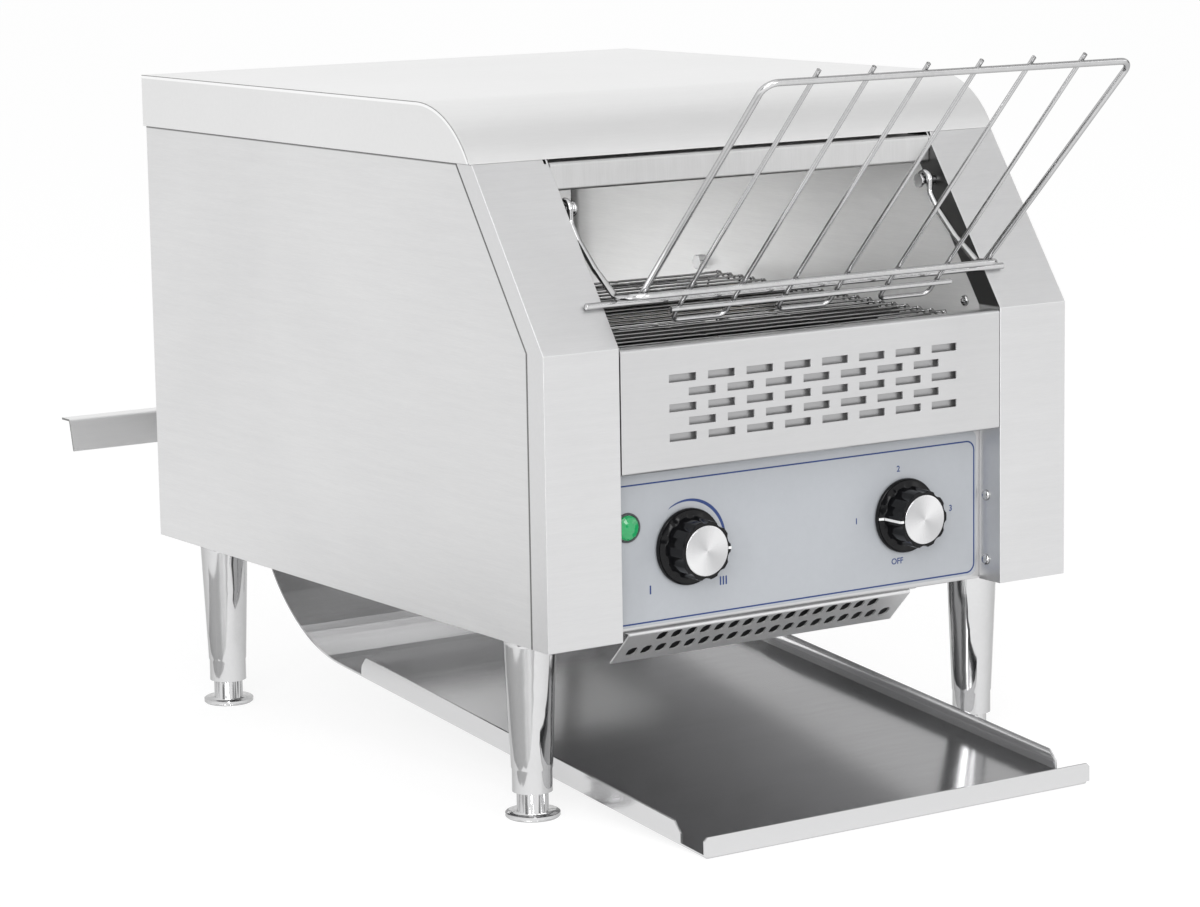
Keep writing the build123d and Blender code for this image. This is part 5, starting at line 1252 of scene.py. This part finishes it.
# ---------------------------------------------------------------- studio
@dataclass(frozen=True)
class SoftLamp:
    """A rectangular lamp: its place, width and height, watts and what it faces.

    Mirrors show it unless mirrored is False. With only, it lights those nodes alone, and with clear nothing
    else shades them from it.
    """

    name: str
    place: Point
    size: tuple[float, float]
    power: float
    aim: Point = (0.0, 0.0, 0.2)
    mirrored: bool = True
    only: Sequence[str] = ()
    clear: bool = False

    def hang(self) -> None:
        """Hang the lamp."""
        data = bpy.data.lights.new("lamp_" + self.name, "AREA")
        data.shape = "RECTANGLE"
        data.size, data.size_y = self.size
        data.energy = self.power
        lamp = bpy.data.objects.new("lamp_" + self.name, data)
        bpy.context.scene.collection.objects.link(lamp)
        lamp.location = self.place
        lamp.rotation_euler = (Vector(self.aim) - Vector(self.place)).to_track_quat("-Z", "Y").to_euler()
        lamp.visible_camera = False
        lamp.visible_glossy = self.mirrored
        if self.only:
            lit = bpy.data.collections.new("lit_by_" + self.name)
            for node in self.only:
                lit.objects.link(bpy.data.objects[node + "_finished"])
            lamp.light_linking.receiver_collection = lit
            if self.clear:
                lamp.light_linking.blocker_collection = lit


@dataclass
class Studio:
    """Floor, world, lamps, reflection cards and camera."""

    eye: Point = (-1.27603, -1.92419, 0.54883)
    yaw: float = 0.58885
    pitch: float = 0.16361
    roll: float = -0.01613
    lens: float = 113.32
    sensor: float = 36.0
    ambient: float = 0.62
    floor_size: float = 60.0
    floor_share: float = 0.72
    floor_glow: float = 1.15
    floor_dark: Colour = (0.90, 0.90, 0.90)
    floor_light: Colour = (0.93, 0.93, 0.93)
    target: Point = (0.0, 0.0, 0.2)
    lamps: Sequence[SoftLamp] = (
        SoftLamp("key", (-1.6, -2.0, 2.4), (2.2, 2.2), 22.0),
        SoftLamp("fill", (2.6, -1.4, 1.7), (2.0, 2.0), 8.0),
        SoftLamp("front", (-1.7, -2.3, 0.95), (0.7, 0.7), 16.0),
        SoftLamp("dish", (0.3, -2.9, 1.0), (1.0, 0.5), 8.0),
        SoftLamp("bend", (-2.4, -1.7, 0.85), (0.3, 0.9), 8.0),
        SoftLamp("cavity", (-1.0, -1.35, 0.60), (0.5, 0.3), 4.0, (0.13, -0.05, 0.32), False,
                 ("inner_wall_right", "inner_back"), True),
        SoftLamp("cavity_rear", (-0.09, 0.10, 0.275), (0.12, 0.04), 0.32, (0.136, 0.18, 0.25), False,
                 ("inner_wall_right", "inner_back"), True),
        SoftLamp("chute", (0.0, 0.09, 0.185), (0.22, 0.10), 0.5, (0.0, 0.207, 0.13), False,
                 ("inner_back", "toast_tray")),
        SoftLamp("under", (0.0, 0.06, 0.100), (0.24, 0.30), 0.25, (0.0, 0.09, 0.0), False, ("toast_tray",)),
    )
    cards: Sequence[tuple[str, Point, tuple[float, float], float]] = (
        ("card_left", (-2.7, -0.7, 0.5), (0.9, 1.6), 0.30),
        ("card_front", (0.55, -3.0, 0.4), (0.7, 1.2), 0.03),
        ("card_right", (3.0, -0.3, 0.5), (0.9, 1.6), 0.10),
        ("card_above", (1.35, -0.5, 1.9), (1.6, 1.6), 0.85),
    )
    mat: tuple[str, Point, tuple[float, float], float] = ("mat", (-0.36, -0.10, 0.001), (0.24, 0.9), 0.66)

    def build(self) -> None:
        """Set up the studio."""
        self.world()
        self.floor()
        for lamp in self.lamps:
            lamp.hang()
        for card in self.cards:
            self.card(*card)
        self.card(*self.mat, flat=True)
        self.camera()
        bpy.context.scene.view_settings.view_transform = "Standard"

    def seen(self, graph: Graph) -> Socket:
        """A mask that is 1 for what the camera, mirrors and glass see.

        Args:
            graph: The graph to add it to.

        Returns:
            The mask.
        """
        path = graph.add("LightPath").outputs
        either = graph.math("MAXIMUM", path["Is Camera Ray"], path["Is Glossy Ray"])
        return graph.math("MAXIMUM", either, path["Is Transmission Ray"])

    def world(self) -> None:
        """White where it is seen, softer where it lights."""
        world = bpy.data.worlds.new("studio_world")
        bpy.context.scene.world = world
        world.use_nodes = True
        graph = Graph(world.node_tree)
        background = world.node_tree.nodes["Background"]
        background.inputs["Color"].default_value = (1.0, 1.0, 1.0, 1.0)
        graph.link(graph.spread(self.seen(graph), self.ambient, 1.0), background.inputs["Strength"])

    def floor(self) -> None:
        """A white floor that keeps a faint shadow."""
        bpy.ops.mesh.primitive_plane_add(size=self.floor_size, location=(0.0, 0.0, 0.0))
        floor = Bench.fix(bpy.context.active_object, "studio_floor")
        made, graph, shader = Graph.material("studio_floor")
        graph.tree.nodes.remove(shader)
        speckle = graph.add("TexNoise", Scale=3.0).outputs[0]
        paint = graph.add("BsdfDiffuse", Color=graph.blend(speckle, self.floor_dark, self.floor_light))
        glow = graph.add("Emission", Strength=self.floor_glow)
        mix = graph.add("MixShader", Fac=graph.spread(self.seen(graph), 0.0, self.floor_share))
        graph.link(paint.outputs[0], mix.inputs[1])
        graph.link(glow.outputs[0], mix.inputs[2])
        graph.link(mix.outputs[0], graph.tree.nodes["Material Output"].inputs["Surface"])
        floor.data.materials.append(made)

    def card(self, name: str, place: Point, size: tuple[float, float], tone: float,
             flat: bool = False) -> None:
        """Stand or lay a card that only shows in bright metal.

        Args:
            name: Its name.
            place: Its middle.
            size: Its width and height.
            tone: How light it is.
            flat: Whether it lies on the floor.
        """
        bpy.ops.mesh.primitive_plane_add(size=1.0)
        card = bpy.context.active_object
        facing = Vector((0.0, 0.0, 1.0)) if flat else Vector(self.target) - Vector(place)
        card.matrix_world = (Matrix.Translation(place) @ facing.to_track_quat("Z", "Y").to_matrix().to_4x4()
                             @ Matrix.Diagonal((*size, 1.0, 1.0)))
        card = Bench.fix(card, name)
        made, graph, shader = Graph.material("studio_" + name)
        cloth = graph.add("TexNoise", Scale=40.0).outputs[0]
        graph.link(graph.blend(cloth, (tone * 0.8,) * 3, (tone,) * 3), shader.inputs["Base Color"])
        card.data.materials.append(made)
        card.visible_camera = card.visible_diffuse = card.visible_shadow = False

    def camera(self) -> None:
        """Stand the camera."""
        yaw, level = self.yaw, math.cos(self.pitch)
        ahead = Vector((math.sin(yaw) * level, math.cos(yaw) * level, -math.sin(self.pitch)))
        right = Vector((math.cos(yaw), -math.sin(yaw), 0.0))
        turn = Matrix((right, right.cross(ahead), -ahead)).transposed() @ Matrix.Rotation(self.roll, 3, "Z")
        data = bpy.data.cameras.new("studio_camera")
        data.lens = self.lens
        data.sensor_width = self.sensor
        camera = bpy.data.objects.new("studio_camera", data)
        bpy.context.scene.collection.objects.link(camera)
        camera.matrix_world = Matrix.Translation(self.eye) @ turn.to_4x4()
        bpy.context.scene.camera = camera


def main() -> None:
    """Build the machine's looks in order."""
    logging.basicConfig(level=logging.INFO, format="%(name)s: %(message)s")
    machine = Machine()
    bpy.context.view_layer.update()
    for part in (
        Casing(machine), Undercarriage(machine), ToastTray(machine), Conveyor(machine), LoadingRack(machine),
        Fasteners(machine), Knob(machine, "speed"), Knob(machine, "selector", points_right=False),
        ControlFace(machine), Lamp(machine), ControlBox(machine),
    ):
        part.build()
        LOG.info("%s is done", type(part).__name__)
    Studio().build()


if __name__ == "__main__":
    main()
